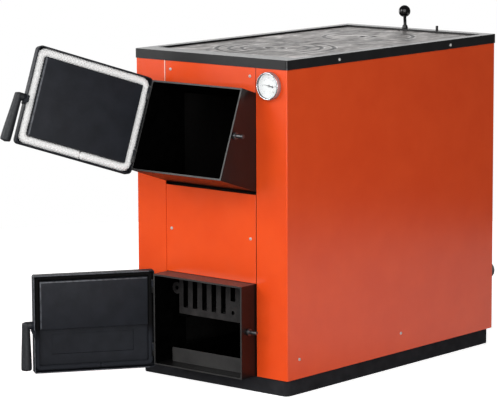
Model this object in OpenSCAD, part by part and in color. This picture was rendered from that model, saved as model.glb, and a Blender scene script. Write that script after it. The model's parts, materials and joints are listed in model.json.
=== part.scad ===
// Solid fuel boiler with a cooking plate: a loading door over an ash door at the front.
// Millimetres. Z is up, the front faces -Y, and the origin is the middle of the base on the floor.
// Both doors are drawn open, as they stand at rest.

/* [Overall] */
// Width of the top frame
body_w = 460; // [450:1:500]
// Depth of the top frame
body_d = 800; // [790:1:860]
// Height of the top frame above the floor
body_h = 768; // [760:1:820]
// Clearance between pieces that lie beside each other
gap = 0.3; // [0.2:0.05:0.4]

/* [Base] */
// Height of the base plinth
base_h = 38; // [32:1:44]
// Step of the plinth behind the top frame's outline
base_inset = 8; // [4:1:12]
// Corner radius of the plinth
base_corner = 14; // [6:1:24]
// Plate thickness of the plinth
base_t = 3; // [2:0.5:4]
// Width of the lip that the boiler stands on
base_lip = 40; // [34:1:50]

/* [Panels] */
// Thickness of the painted sheet
sheet_t = 1.5; // [1:0.1:2]
// Step of the panels behind the top frame's outline
panel_inset = 2; // [1.8:0.1:3]
// Outer bend radius of the side panels
bend_r = 3; // [2.2:0.1:4]
// Width of the front strips beside the doors
strip_w = 90; // [84:1:91]
// Width of the side panels' rear flanges
rear_flange = 18; // [10:1:22]
// Depth of the fold round the front panels
fold_d = 6; // [4:0.5:8]
// Seam between neighbouring panels
seam = 0.8; // [0.6:0.1:2]
// Distance from the panels' rear edge to the rear panel
rear_step = 1.5; // [1.5:0.1:3]

/* [Top frame] */
// Plate thickness of the frame
frame_t = 3; // [2:0.5:4]
// Height of the frame's rim
rim_h = 22; // [20:1:26]
// Wall of the frame's rim
rim_t = 1.7; // [1:0.1:1.7]
// Width of the ledge that carries the cooking plate
ledge_w = 12; // [8:1:16]
// Thickness of the ledge and of the wall above it
ledge_t = 3; // [2:0.5:4]
// Depth of the cooking plate below the frame
plate_drop = 4; // [2:0.5:6]

/* [Cooking plate] */
// Border of the frame beside the cooking plate's joint
border_side = 22.5; // [20:0.5:30]
// Border of the frame in front of the cooking plate's joint
border_front = 54.5; // [50:0.5:70]
// Border of the frame behind the cooking plate's joint
border_rear = 30.5; // [29.5:0.5:40]
// Thickness of the cooking plate
plate_t = 10; // [8:0.5:11]
// Corner radius of the cooking plate
plate_r = 8; // [3:1:14]
// Joint round the cooking plate
plate_gap = 2.5; // [1:0.5:3]
// Share of the plate's depth from its front edge to the front burner's middle
front_burner_share = 0.2507; // [0.23:0.0001:0.26]
// Share of the plate's depth from the rear burner's middle to its rear edge
rear_burner_share = 0.2507; // [0.2:0.0001:0.26]
// Diameter of the front burner's outer ring
ring_outer_d = 276; // [262:1:290]
// Width of the front burner's outer ring
ring_outer_w = 29.5; // [24:0.5:32]
// Width of the front burner's inner ring
ring_inner_w = 29.5; // [24:0.5:36]
// Diameter of the rear burner's lid
rear_lid_d = 218; // [180:1:240]
// Width of the step that each ring rests on
step_w = 8; // [5:0.5:10]
// Depth of that step
step_t = 5; // [4:0.5:6]
// Diameter of a lifting pocket
pocket_d = 12; // [8:1:16]
// Depth of a lifting pocket
pocket_deep = 3.5; // [2:0.5:4]
// Distance between the pockets of the front lid
pocket_pitch = 36; // [20:1:50]
// Distance between the pockets of the rear lid
rear_pocket_pitch = 28; // [20:1:50]

/* [Water jacket and firebox] */
// Space between a side panel and the jacket
side_space = 21.5; // [19:0.5:24]
// Wall of the water jacket
jacket_t = 3; // [2:0.5:4]
// Space between the front panels and the jacket
front_space = 16; // [12:1:20]
// Space between the rear panel and the jacket
rear_space = 20; // [16:1:26]
// Water space beside the firebox
side_water = 37; // [34:1:44]
// Wall of the firebox
firebox_t = 4; // [3:0.5:5]
// Water space in front of the firebox
front_water = 34; // [28:1:40]
// Water space behind the firebox
rear_water = 27; // [22:1:32]
// Depth of the water shelf's underside below the top
shelf_drop = 208; // [196:1:228]
// Thickness of the water shelf
shelf_t = 30; // [20:1:36]
// Way for the smoke in front of the water shelf
shelf_front = 280; // [220:5:360]
// Width of the insulation's step inside the panels' height
board_step = 20; // [10:1:40]

/* [Loading chute] */
// Clearance between the chute and the front strips
chute_side = 2.5; // [2:0.1:4]
// Shift of the chute away from its hinges
chute_shift = 1.5; // [0:0.1:1.7]
// Outer height of the chute's mouth
chute_h = 214; // [208:1:216]
// Wall of the chute and of the ash frame
chute_t = 4; // [3:0.5:5]
// Slope of the chute's floor, in degrees
chute_slope_angle = 18; // [16:0.1:20.7]
// Lean of the chute's mouth and of the loading door, in degrees
chute_tilt_angle = 20.7; // [18:0.1:22]
// Depth of the mouth's middle below the top
mouth_drop = 164; // [156:1:178]
// Distance of the mouth's middle in front of the body
mouth_reach = 82.5; // [78:0.5:100]
// Height of the slot under the chute
slot_h = 5.5; // [1:0.5:7]

/* [Ash frame] */
// Clearance between the ash frame and the front strips
ash_side = 3.5; // [2:0.5:5]
// Distance of the ash frame's mouth in front of the body
ash_reach = 48; // [44:1:60]
// Thickness of the ash chamber's floor
floor_t = 3; // [2:0.5:4]

/* [Doors] */
// Lap of a door beyond the chute's free side
door_side = 5.5; // [5.4:0.1:6.5]
// Lap of a door above and below the chute's mouth
door_lip = 8; // [7:0.1:9]
// Lap of the lower door above and below the ash frame
ash_lip = 8; // [6:0.1:9]
// Depth of a door in front of its mouth
door_t = 20; // [19.9:0.1:22]
// Lap of the door's skirt behind the mouth's plane
door_lap = 3; // [1:0.5:4]
// Sheet thickness of a door
door_sheet = 2.5; // [2:0.1:2.6]
// Corner radius of the loading door
door_r = 10; // [6:1:14]
// Corner radius of the ash door
ash_door_r = 4; // [3:0.5:10]
// Opening angle of the loading door in its rest position
loading_open_angle = 118; // [100:1:130]
// Opening angle of the ash door in its rest position
ash_open_angle = 125.5; // [100:0.5:130]
// Distance of the hinge line outside the chute's wall
hinge_out = 5.5; // [5.4:0.1:6]
// Distance of the hinge line inside the door's edge
hinge_inset = 4; // [3:0.1:4.5]
// Distance of the hinge line behind the mouth's plane
hinge_back = 6; // [5.9:0.1:7]
// Drop of a door below its mouth's middle
door_drop = 2; // [0:0.1:3]
// Diameter of a hinge knuckle
knuckle_d = 10; // [9:0.5:10]
// Length of a hinge knuckle
knuckle_l = 14; // [10:1:18]
// Diameter of a hinge pin
hinge_pin_d = 6; // [5:0.5:6]
// Distance between a door's two hinges
hinge_pitch = 150; // [120:1:160]
// Running clearance on the radius of every pin
pin_play = 0.06; // [0.03:0.01:0.09]
// Diameter of the loading door's rope
rope_d = 17; // [15:0.1:17]
// Diameter of the ash door's rope
ash_rope_d = 12; // [10:0.1:12.2]
// Corner radius of the middle line of the loading door's rope
rope_r = 12.5; // [10:0.5:13]
// Corner radius of the middle line of the ash door's rope
ash_rope_r = 7.5; // [7:0.1:7.6]
// Border between the loading door's edge and its inner panel
door_border = 22.5; // [20.5:0.5:24]
// Border between the ash door's edge and its heat shield
ash_border = 15.5; // [15.5:0.5:18]
// Rise of the loading door's panel behind the mouth's plane
panel_rise = 8; // [2:1:12]
// Sheet thickness of the inner panels
panel_sheet = 2; // [1.5:0.1:2.5]
// Height of the ash door's heat shield
shield_h = 113; // [95:1:115]

/* [Latches] */
// Diameter of a latch pin
latch_d = 9; // [7:0.5:10]
// Length of a latch pin beyond its boss
latch_l = 20; // [18:0.5:22]
// Diameter of a latch pin's boss
boss_d = 16; // [14:1:17]
// Thickness of a latch pin's boss
boss_t = 5; // [3:0.5:5]
// Distance of the loading latch pin behind the mouth
loading_latch_back = 13; // [12:1:18]
// Distance of the ash latch pin behind the mouth
ash_latch_back = 24; // [20:1:26]
// Distance of a handle's pivot in front of the mouth
pivot_front = 7; // [6:0.5:9]
// Diameter of a handle's pivot bolt
pivot_d = 8; // [7:0.5:9]
// Thickness of a latch hook
hook_t = 5; // [4:0.5:6]
// Width of a latch hook
hook_w = 9; // [8:0.5:11]
// Swing of a handle from its latched to its hanging position
latch_swing_angle = 18; // [17:1:19]
// Forward lean of the loading handle as it hangs
handle_lean_angle = 10; // [6:1:14]
// Distance of a grip's axis outside the door's edge
grip_out = 17; // [16.5:0.5:19]
// Diameter of a grip's hub
grip_hub_d = 18; // [16:0.5:20]
// Drop of the loading handle's pivot below the mouth's middle
loading_pivot_drop = 12; // [0:1:13]
// Drop of the ash handle's pivot below the mouth's middle
ash_pivot_drop = 4; // [0:1:8]
// Length of a grip below its pivot
grip_l = 108; // [95:1:112]
// Radius of a grip at its neck
grip_neck_r = 9.5; // [9:0.1:10]
// Radius of a grip at its thick end
grip_end_r = 12.5; // [11:0.1:13]

/* [Air flap] */
// Distance of the air opening from the door's free edge
air_end = 45; // [42:1:60]
// Height of the air opening
air_h = 48; // [36:1:52]
// Distance of the air opening from the door's hinge edge
air_x = 48; // [44:1:60]
// Top of the air opening below the door's middle
air_drop = 27.5; // [26:0.5:34]
// Lap of the flap over its opening
flap_lap = 11; // [8:1:12]
// Thickness of the flap
flap_t = 3; // [2:0.5:3.5]
// Diameter of the flap's barrel
barrel_d = 8; // [7.5:0.5:9]
// Diameter of the flap's pin
flap_pin_d = 5; // [4:0.5:5]
// Width of an ear that holds the flap's pin
ear_w = 5; // [4:0.5:6]
// Projection of the chain lug from the flap
lug_l = 12; // [10:1:16]

/* [Grates and ash pan] */
// Height of the fire grate's top above the floor
grate_z = 158; // [150:1:164]
// Thickness of the fire grate
grate_t = 18; // [12:1:22]
// Space behind the fire grate
grate_rear = 116; // [60:1:180]
// Width of a grate bar
bar_w = 15; // [12:0.5:17]
// Distance between neighbouring grate bars
bar_pitch = 29; // [26:0.5:31]
// Thickness of the front fence grate
fence_t = 6; // [5:0.5:8]
// Space beside the front fence grate
fence_side = 23.5; // [20:0.5:26]
// Bottom of the fence above the floor
fence_z = 153; // [150:1:158]
// Height of the fence below its slots
fence_foot = 16; // [14:1:24]
// Distance of the fence behind the front of the body
fence_back = 9; // [6:1:14]
// Space beside the ash pan
pan_side = 17.5; // [12:0.5:30]
// Space behind the ash pan
pan_rear = 150; // [100:5:200]
// Height of the ash pan
pan_h = 34; // [28:1:60]
// Sheet thickness of the ash pan
pan_t = 1.5; // [1:0.1:2]
// Distance of the pan in front of the body
pan_front = 10; // [4:1:14]

/* [Smoke outlet] */
// Outer width of the smoke box
smoke_w = 120; // [116:1:128]
// Outer height of the smoke box
smoke_h = 130; // [122:1:136]
// Depth of the smoke box's bottom below the top
smoke_drop = 156; // [154:1:160]
// Wall of the smoke box
smoke_t = 4; // [3:0.5:5]
// Outer diameter of the flue socket
flue_d = 115; // [108:0.5:115]
// Wall of the flue socket
flue_t = 2; // [1.5:0.1:3]
// Length of the flue socket
flue_l = 60; // [45:1:80]
// Diameter of the damper's spindle
spindle_d = 8; // [7:0.5:9]
// Distance of the spindle from the body's middle, to the left
spindle_x = 39; // [36:1:42]
// Distance of the spindle in front of the body's rear edge
spindle_in = 12; // [11.5:0.5:13]
// Diameter of the damper knob
knob_d = 30; // [24:1:34]
// Height of the knob's middle above the top frame
knob_rise = 40.5; // [36:0.5:50]
// Sideways throw of the damper's lever
knob_throw = 22; // [10:1:24]
// Diameter of the collar's foot
collar_d = 16; // [14:0.5:18]
// Height of the collar
collar_h = 8; // [6:0.5:9]
// Diameter of the rear stud
stud_d = 6.5; // [5:0.5:8]
// Rise of the rear stud above the top frame
stud_rise = 11; // [8:0.5:14]
// Distance of the rear stud from the body's middle
stud_x = 60; // [54:1:66]

/* [Water nozzles] */
// Outer diameter of a water nozzle
nozzle_d = 42; // [38:0.5:44]
// Wall of a water nozzle
nozzle_t = 3.5; // [2.5:0.1:4]
// Thickness of the weld collar at a nozzle's root
nozzle_collar = 1; // [0.6:0.1:2]
// Reach of a nozzle behind the body
nozzle_l = 47; // [35:1:60]
// Distance of a nozzle from the jacket's side wall
nozzle_edge = 3; // [1:0.5:12]
// Height of the return nozzle above the floor
return_z = 172; // [150:1:200]
// Depth of the supply nozzle below the top
supply_drop = 78; // [68:1:108]

/* [Thermometer] */
// Outer diameter of the bezel
gauge_d = 63; // [58:0.5:70]
// Depth of the case in front of the panel
gauge_t = 13; // [10:0.5:14]
// Wall of the bezel
gauge_wall = 3.5; // [3:0.5:5]
// Thickness of the case's back
gauge_back = 3; // [2:0.5:3]
// Distance of the gauge's middle from the side of the panel
gauge_side = 48; // [40:1:50]
// Depth of the gauge's middle below the top
gauge_drop = 60; // [58:1:78]
// Diameter of the gauge's stem
stem_d = 10; // [8:0.5:12]
// Length of the stem behind the panel
stem_l = 14; // [10:0.5:15]
// Thickness of the glass
glass_t = 2; // [1.5:0.1:2.2]
// Thickness of the dial
dial_t = 1; // [0.6:0.1:1.2]
// Thickness of the needle
needle_t = 0.8; // [0.6:0.1:1]
// Length of the needle's tip
needle_l = 19; // [16:0.5:22]
// Length of the needle's tail
tail_l = 11; // [8:0.5:13]
// Angle of the needle above the horizontal, in degrees
needle_angle = 8; // [0:1:20]

/* [Screws] */
// Head diameter of a panel screw
screw_head_d = 7; // [6:0.5:9]
// Height of a screw head
screw_head_t = 2.2; // [1.5:0.1:3]
// Shank diameter of a screw
screw_d = 3.6; // [3:0.1:4.2]
// Length of a screw's shank
screw_l = 7; // [5:0.5:9]
// Distance of the front screws from the panel's side edge
screw_edge = 17; // [12:1:24]
// Depth of the upper front screws below the top
screw_drop = 42; // [36:1:46]
// Height of the side screws above the floor
screw_side_z = 83; // [70:1:100]
// Distance of the front side screw behind the panel's front
screw_front = 42; // [30:1:60]
// Distance of the rear side screw in front of the panel's rear
screw_rear = 374; // [340:1:400]
// Distance of the rim screws from the frame's front and rear
screw_rim = 187; // [150:1:220]

/* [Hidden] */
$fn = 64;

// Overrun of every cut
over = 1;

// Outline of the painted body
panel_w = body_w - 2 * panel_inset;
panel_d = body_d - 2 * panel_inset;
front_y = -panel_d / 2;
rear_y = panel_d / 2;
strip_x = panel_w / 2 - strip_w;
panel_top = body_h - frame_t - gap;

// Cooking plate and its ledge
frame_r = bend_r + panel_inset;
open_w = body_w - 2 * border_side;
open_d = body_d - border_front - border_rear;
plate_back = (border_front - border_rear) / 2;
plate_w = open_w - 2 * plate_gap;
plate_d = open_d - 2 * plate_gap;
plate_top = body_h - plate_drop;
plate_z = plate_top - plate_t;
ledge_z = plate_z - ledge_t;
front_burner_y = plate_back - plate_d / 2 + plate_d * front_burner_share;
rear_burner_y = plate_back + plate_d / 2 - plate_d * rear_burner_share;
ring_inner_d = ring_outer_d - 2 * ring_outer_w;
lid_d = ring_inner_d - 2 * ring_inner_w;

// Water jacket and firebox
jacket_w = panel_w - 2 * sheet_t - 2 * side_space;
firebox_w = jacket_w - 2 * jacket_t - 2 * side_water;
jacket_front = front_y + sheet_t + front_space;
jacket_back = rear_y - sheet_t - rear_step - rear_space;
firebox_front = jacket_front + jacket_t + front_water;
firebox_back = jacket_back - jacket_t - rear_water;
shelf_z = body_h - shelf_drop;

// Loading chute
chute_w = 2 * (strip_x - chute_side);
mouth_y = -body_d / 2 - mouth_reach;
mouth_z = body_h - mouth_drop;
chute_l = body_d / 2;
mouth_half = chute_h / 2 / cos(chute_slope_angle);
function chute_top(y) = mouth_z + mouth_half - (y - mouth_y) * tan(chute_slope_angle);
function chute_bottom(y) = mouth_z - mouth_half - (y - mouth_y) * tan(chute_slope_angle);

// Ash frame
door_h = chute_h + 2 * door_lip;
ash_w = 2 * (strip_x - ash_side);
ash_top = base_h + door_h - 2 * ash_lip;
ash_y = -body_d / 2 - ash_reach;
ash_mid_z = (base_h + ash_top) / 2;

// Doors
door_w = chute_w + hinge_out + hinge_inset + door_side;
air_w = door_w - air_x - air_end;
bore_d = 2 * pin_play;
shield_z = door_h / 2 - ash_border - shield_h;

// Air flap
flap_axis_y = -door_t - gap - barrel_d / 2;
flap_axis_z = -air_drop + flap_lap;
flap_w = air_w + 2 * flap_lap;
flap_x = air_x - flap_lap;

// Smoke outlet
smoke_back = rear_y - sheet_t;
smoke_z = body_h - smoke_drop;
flue_z = smoke_z + smoke_h / 2;
spindle_y = body_d / 2 - spindle_in;
sleeve_d = spindle_d + 4 * over;
lean_x_share = -0.65;
lean_y_share = 0.76;

// Screws and nozzles
screw_x = strip_x - seam - screw_edge;
screw_top_z = body_h - screw_drop;
middle_z0 = ash_top + seam;
middle_z1 = chute_bottom(front_y + fold_d) - slot_h;
screw_mid_z = (middle_z0 + middle_z1) / 2;
supply_z = body_h - supply_drop;
side_screw_y = [-panel_d / 2 + screw_front, panel_d / 2 - screw_rear];
rim_screw_y = [-body_d / 2 + screw_rim, body_d / 2 - screw_rim];
nozzle_x = jacket_w / 2 - nozzle_edge - nozzle_d / 2;

// Thermometer
gauge_x = panel_w / 2 - gauge_side;
gauge_z = body_h - gauge_drop;
dial_d = gauge_d - 2 * gauge_wall;
gauge_front = front_y - gauge_t;

// A block between two corners
module block(low, high) {
    translate(low) cube(high - low);
}

// A flat outline with round corners
module round_rect(w, d, r) {
    square([w - 2 * r, d], center = true);
    square([w, d - 2 * r], center = true);
    for (x = [-1, 1], y = [-1, 1])
        translate([x * (w / 2 - r), y * (d / 2 - r)]) circle(r = r);
}

// An upright prism on that outline, centred on the Z axis
module prism(w, d, r, z, h) {
    translate([0, 0, z]) linear_extrude(h) round_rect(w, d, r);
}

// A prism on that outline that runs along Y
module slab(w, h, r, y0, y1) {
    translate([0, y1, 0]) rotate([90, 0, 0]) linear_extrude(y1 - y0) round_rect(w, h, r);
}

// Round rods along X and along Y
module rod_x(x0, x1, d) {
    translate([x0, 0, 0]) rotate([0, 90, 0]) cylinder(d = d, h = x1 - x0);
}
module rod_y(y0, y1, d) {
    translate([0, y1, 0]) rotate([90, 0, 0]) cylinder(d = d, h = y1 - y0);
}

// Frames of the chute's mouth and of the two hinge lines, with Y running into the boiler
module at_mouth(angle) {
    translate([chute_shift, mouth_y, mouth_z]) rotate([-angle, 0, 0]) children();
}
module at_loading_hinge(angle) {
    at_mouth(chute_tilt_angle) translate([-chute_w / 2 - hinge_out, hinge_back, 0])
        rotate([0, 0, -angle]) children();
}
module at_ash_hinge(angle) {
    translate([-ash_w / 2 - hinge_out, ash_y + hinge_back, ash_mid_z]) rotate([0, 0, -angle]) children();
}

// Moves a door's pieces from the hinge line to the corner of the closed door
module on_door() {
    translate([-hinge_inset, -hinge_back, -door_drop]) children();
}

// Solids that the front openings are cut with
module chute_cut() {
    at_mouth(chute_slope_angle)
        block([-chute_w / 2 - gap, -over, -chute_h / 2 - gap],
              [chute_w / 2 + gap, chute_l, chute_h / 2 + gap]);
}
module ash_cut() {
    block([-ash_w / 2 - gap, ash_y, -over],
          [ash_w / 2 + gap, firebox_front + firebox_t + over, ash_top + gap]);
}
module smoke_cut() {
    block([-smoke_w / 2 - gap, firebox_back - firebox_t - over, smoke_z - gap],
          [smoke_w / 2 + gap, rear_y + over, smoke_z + smoke_h + gap]);
}
module nozzle_cuts() {
    for (place = [[-nozzle_x, supply_z], [nozzle_x, return_z]])
        translate([place[0], 0, place[1]])
            rod_y(jacket_back - jacket_t - over, rear_y + over, nozzle_d + 2 * nozzle_collar + 2 * gap);
}

// Base

module base_plinth() {
    w = body_w - 2 * base_inset;
    d = body_d - 2 * base_inset;
    color("#26272a") difference() {
        prism(w, d, base_corner, 0, base_h);
        prism(w - 2 * base_t, d - 2 * base_t, base_corner - base_t, base_t, base_h - 2 * base_t);
        block([-w / 2 + base_lip, -d / 2 + base_lip, base_t],
              [w / 2 - base_lip, d / 2 - base_lip, base_h + over]);
    }
}

// Painted panels

module panel_outline() {
    difference() {
        round_rect(panel_w, panel_d, bend_r);
        round_rect(panel_w - 2 * sheet_t, panel_d - 2 * sheet_t, bend_r - sheet_t);
    }
}

module side_panel(side) {
    half = panel_w / 2;
    difference() {
        translate([0, 0, base_h]) linear_extrude(panel_top - base_h) intersection() {
            panel_outline();
            union() {
                translate([min(side * strip_x, side * half), -panel_d / 2]) square([strip_w, panel_d / 2]);
                translate([min(side * (half - rear_flange), side * half), 0])
                    square([rear_flange, panel_d / 2]);
            }
        }
        for (y = side_screw_y)
            translate([0, y, screw_side_z])
                rod_x(min(0, side * half) - over, max(0, side * half) + over, screw_d + 2 * gap);
        for (y = rim_screw_y)
            translate([0, y, body_h - rim_h / 2 - frame_t / 2])
                rod_x(min(0, side * half) - over, max(0, side * half) + over, screw_d + 2 * gap);
        translate([gauge_x, 0, gauge_z]) rod_y(front_y - over, front_y + 2 * sheet_t, stem_d + 2 * gap);
    }
}

module side_panel_left() {
    color("#b9451c") side_panel(-1);
}

module side_panel_right() {
    color("#b9451c") side_panel(1);
}

// A front panel with its edges folded back
module folded_panel(z0, z1, screw_z, shift) {
    w = 2 * (strip_x - seam);
    difference() {
        translate([shift, front_y + gap, z0]) linear_extrude(z1 - z0) difference() {
            translate([0, bend_r + fold_d]) round_rect(w, 2 * (bend_r + fold_d), bend_r);
            translate([0, bend_r + fold_d + sheet_t])
                round_rect(w - 2 * sheet_t, 2 * (bend_r + fold_d), bend_r - sheet_t);
            translate([-w / 2 - over, fold_d]) square([w + 2 * over, 2 * (bend_r + fold_d)]);
        }
        for (x = [-screw_x, screw_x])
            translate([x, 0, screw_z])
                rod_y(front_y - over, front_y + 2 * sheet_t, screw_d + 2 * gap);
    }
}

module front_panel_top() {
    color("#e95120") folded_panel(chute_top(front_y) + seam, panel_top, screw_top_z, 0);
}

module front_panel_middle() {
    color("#e95120") folded_panel(middle_z0, middle_z1, screw_mid_z, gap - seam);
}

module rear_panel() {
    w = panel_w - 2 * bend_r - 2 * gap;
    y = rear_y - sheet_t - rear_step;
    color("#3a3c40") difference() {
        block([-w / 2, y, base_h], [w / 2, y + rear_step, panel_top]);
        smoke_cut();
        nozzle_cuts();
    }
}

// A pan head screw whose head sits on the plane z = 0
module panel_screw(head_t) {
    shoulder = head_t / 2;
    translate([0, 0, -screw_l]) cylinder(d = screw_d, h = screw_l);
    cylinder(d = screw_head_d, h = shoulder);
    translate([0, 0, shoulder])
        cylinder(d1 = screw_head_d, d2 = screw_head_d - 2 * shoulder, h = head_t - shoulder);
}

module front_screws() {
    color("#c9c7c4") for (x = [-screw_x, screw_x], z = [screw_top_z, screw_mid_z])
        translate([x, front_y + gap, z]) rotate([90, 0, 0]) panel_screw(screw_head_t);
}

module side_screws() {
    color("#c9c7c4") for (side = [-1, 1], y = side_screw_y)
        translate([side * panel_w / 2, y, screw_side_z]) rotate([0, side * 90, 0])
            panel_screw(screw_head_t);
}

module rim_screws() {
    color("#c9c7c4") for (side = [-1, 1], y = rim_screw_y)
        translate([side * body_w / 2, y, body_h - rim_h / 2 - frame_t / 2])
            rotate([0, side * 90, 0]) panel_screw(screw_head_t);
}

// Top frame and cooking plate

module top_frame() {
    rim_z = body_h - rim_h;
    color("#3d4045") difference() {
        union() {
            difference() {
                prism(body_w, body_d, frame_r, rim_z, rim_h);
                prism(body_w - 2 * rim_t, body_d - 2 * rim_t, frame_r - rim_t, rim_z - over,
                      rim_h - frame_t + over);
            }
            translate([0, plate_back, 0])
                prism(open_w + 2 * ledge_t, open_d + 2 * ledge_t, ledge_t, ledge_z,
                      body_h - frame_t / 2 - ledge_z);
        }
        translate([0, plate_back, 0]) {
            block([-open_w / 2, -open_d / 2, plate_z], [open_w / 2, open_d / 2, body_h + over]);
            block([-open_w / 2 + ledge_w, -open_d / 2 + ledge_w, ledge_z - over],
                  [open_w / 2 - ledge_w, open_d / 2 - ledge_w, body_h]);
        }
        translate([-spindle_x, spindle_y, ledge_z - over])
            cylinder(d = spindle_d + 4 * gap, h = body_h - ledge_z + 2 * over);
        translate([stud_x, spindle_y, ledge_z - over])
            cylinder(d = stud_d + bore_d, h = body_h - ledge_z + 2 * over);
        for (y = rim_screw_y)
            translate([0, y, body_h - rim_h / 2 - frame_t / 2]) {
                rod_x(-body_w / 2 - over, -body_w / 2 + rim_t + over, screw_d + 2 * gap);
                rod_x(body_w / 2 - rim_t - over, body_w / 2 + over, screw_d + 2 * gap);
            }
    }
}

// The seat of a ring or lid, cut through the cooking plate or the next ring
module burner_seat(d) {
    translate([0, 0, plate_top - step_t]) cylinder(d = d + 2 * gap, h = step_t + over, $fn = 128);
    translate([0, 0, plate_z - over])
        cylinder(d = d - 2 * step_w, h = plate_t + 2 * over, $fn = 128);
}

// The stepped disc that drops into such a seat
module burner_disc(d) {
    translate([0, 0, plate_top - step_t + gap]) cylinder(d = d, h = step_t - gap, $fn = 128);
    translate([0, 0, plate_z])
        cylinder(d = d - 2 * step_w - 2 * gap, h = plate_t - step_t + gap, $fn = 128);
}

module lid_pockets(pitch) {
    turn = 38;
    rotate([0, 0, turn]) for (x = [-pitch / 2, pitch / 2])
        translate([x, 0, plate_top - pocket_deep]) cylinder(d = pocket_d, h = pocket_deep + over);
}

module cooking_plate() {
    color("#55524f") difference() {
        translate([0, plate_back, 0]) prism(plate_w, plate_d, plate_r, plate_z, plate_t);
        translate([0, front_burner_y, 0]) burner_seat(ring_outer_d);
        translate([0, rear_burner_y, 0]) burner_seat(rear_lid_d);
    }
}

module burner_ring_outer() {
    color("#4d4a48") translate([0, front_burner_y, 0]) difference() {
        burner_disc(ring_outer_d);
        burner_seat(ring_inner_d);
    }
}

module burner_ring_inner() {
    color("#55524f") translate([0, front_burner_y, 0]) difference() {
        burner_disc(ring_inner_d);
        burner_seat(lid_d);
    }
}

module burner_lid_front() {
    color("#4d4a48") translate([0, front_burner_y, 0]) difference() {
        burner_disc(lid_d);
        lid_pockets(pocket_pitch);
    }
}

module burner_lid_rear() {
    color("#4d4a48") translate([0, rear_burner_y, 0]) difference() {
        burner_disc(rear_lid_d);
        lid_pockets(rear_pocket_pitch);
    }
}

// Firebox, water jacket and insulation

module firebox_shell() {
    half = firebox_w / 2;
    color("#3b3a3a") difference() {
        block([-half, firebox_front, base_h], [half, firebox_back, ledge_z]);
        block([-half + firebox_t, firebox_front + firebox_t, base_h - over],
              [half - firebox_t, firebox_back - firebox_t, ledge_z + over]);
        chute_cut();
        ash_cut();
        smoke_cut();
    }
}

module water_jacket() {
    half = jacket_w / 2;
    inner = firebox_w / 2 + gap;
    color("#5c6066") difference() {
        block([-half, jacket_front, base_h], [half, jacket_back, ledge_z]);
        block([-half + jacket_t, jacket_front + jacket_t, base_h + jacket_t],
              [half - jacket_t, jacket_back - jacket_t, ledge_z - jacket_t]);
        block([-inner, firebox_front - gap, base_h - over], [inner, firebox_back + gap, ledge_z + over]);
        chute_cut();
        ash_cut();
        smoke_cut();
        nozzle_cuts();
    }
}

module water_shelf() {
    half = firebox_w / 2 - firebox_t - gap;
    back = firebox_back - firebox_t - gap;
    color("#3b3a3a") block([-half, firebox_front + firebox_t + shelf_front, shelf_z],
                           [half, back, shelf_z + shelf_t]);
}

module ash_floor() {
    half = firebox_w / 2 - firebox_t - gap;
    color("#2e2d2d") block([-half, firebox_front + firebox_t + gap, base_h],
                           [half, firebox_back - firebox_t - gap, base_h + floor_t]);
}

module side_board(side) {
    inner = jacket_w / 2 + gap;
    outer = panel_w / 2 - sheet_t - screw_l;
    block([min(side * inner, side * outer), jacket_front, base_h],
          [max(side * inner, side * outer), jacket_back, body_h - rim_h - board_step]);
}

module insulation_left() {
    color("#b9a777") side_board(-1);
}

module insulation_right() {
    color("#b9a777") side_board(1);
}

module insulation_rear() {
    half = jacket_w / 2;
    color("#b9a777") difference() {
        block([-half, jacket_back + gap, base_h],
              [half, jacket_back + rear_space - gap, body_h - rim_h - board_step]);
        smoke_cut();
        nozzle_cuts();
    }
}

// Chute, ash frame and what is fixed to them

// Two fixed knuckles on a hinge line, with a foot that reaches the wall
module frame_knuckles(reach) {
    difference() {
        for (z = [-hinge_pitch / 2, hinge_pitch / 2]) translate([0, 0, z - knuckle_l]) {
            cylinder(d = knuckle_d, h = knuckle_l);
            block([0, 0, 0], [reach + chute_t / 2, knuckle_d, knuckle_l]);
        }
        for (z = [-hinge_pitch / 2, hinge_pitch / 2])
            translate([0, 0, z - knuckle_l - over])
                cylinder(d = hinge_pin_d + bore_d, h = knuckle_l + 2 * over);
    }
}

module loading_chute() {
    color("#2b2d32") intersection() {
        union() {
            difference() {
                at_mouth(chute_slope_angle) difference() {
                    block([-chute_w / 2, -chute_h / 4, -chute_h / 2], [chute_w / 2, chute_l, chute_h / 2]);
                    block([-chute_w / 2 + chute_t, -chute_h / 4 - over, -chute_h / 2 + chute_t],
                          [chute_w / 2 - chute_t, chute_l + over, chute_h / 2 - chute_t]);
                }
                at_mouth(chute_tilt_angle)
                    block([-chute_w, -chute_h / 2, -chute_h], [chute_w, 0, chute_h]);
            }
            at_loading_hinge(0) frame_knuckles(hinge_out);
        }
        block([-body_w, mouth_y - chute_h, 0], [body_w, firebox_front + firebox_t, body_h]);
    }
}

module ash_frame() {
    half = ash_w / 2;
    back = firebox_front + firebox_t;
    color("#2b2d32") union() {
        difference() {
            block([-half, ash_y, base_h], [half, back, ash_top]);
            block([-half + chute_t, ash_y - over, base_h + floor_t],
                  [half - chute_t, back + over, ash_top - chute_t]);
        }
        at_ash_hinge(0) frame_knuckles(hinge_out);
    }
}

// A pin with its boss, standing out of a wall along X
module latch_pin() {
    rod_x(0, boss_t, boss_d);
    rod_x(boss_t, boss_t + latch_l, latch_d);
}

module latch_pins() {
    color("#8f9296") {
        at_mouth(chute_tilt_angle) translate([chute_w / 2, loading_latch_back, 0]) latch_pin();
        translate([ash_w / 2, ash_y + ash_latch_back, ash_mid_z]) latch_pin();
    }
}

// The two pins of one door
module door_pins() {
    head_d = hinge_pin_d + 3 * over;
    head_t = 2 * over;
    for (z = [-hinge_pitch / 2, hinge_pitch / 2]) translate([0, 0, z]) {
        translate([0, 0, -knuckle_l]) cylinder(d = hinge_pin_d, h = 2 * knuckle_l + 3 * gap);
        translate([0, 0, knuckle_l + 3 * gap]) cylinder(d = head_d, h = head_t);
    }
}

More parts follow.
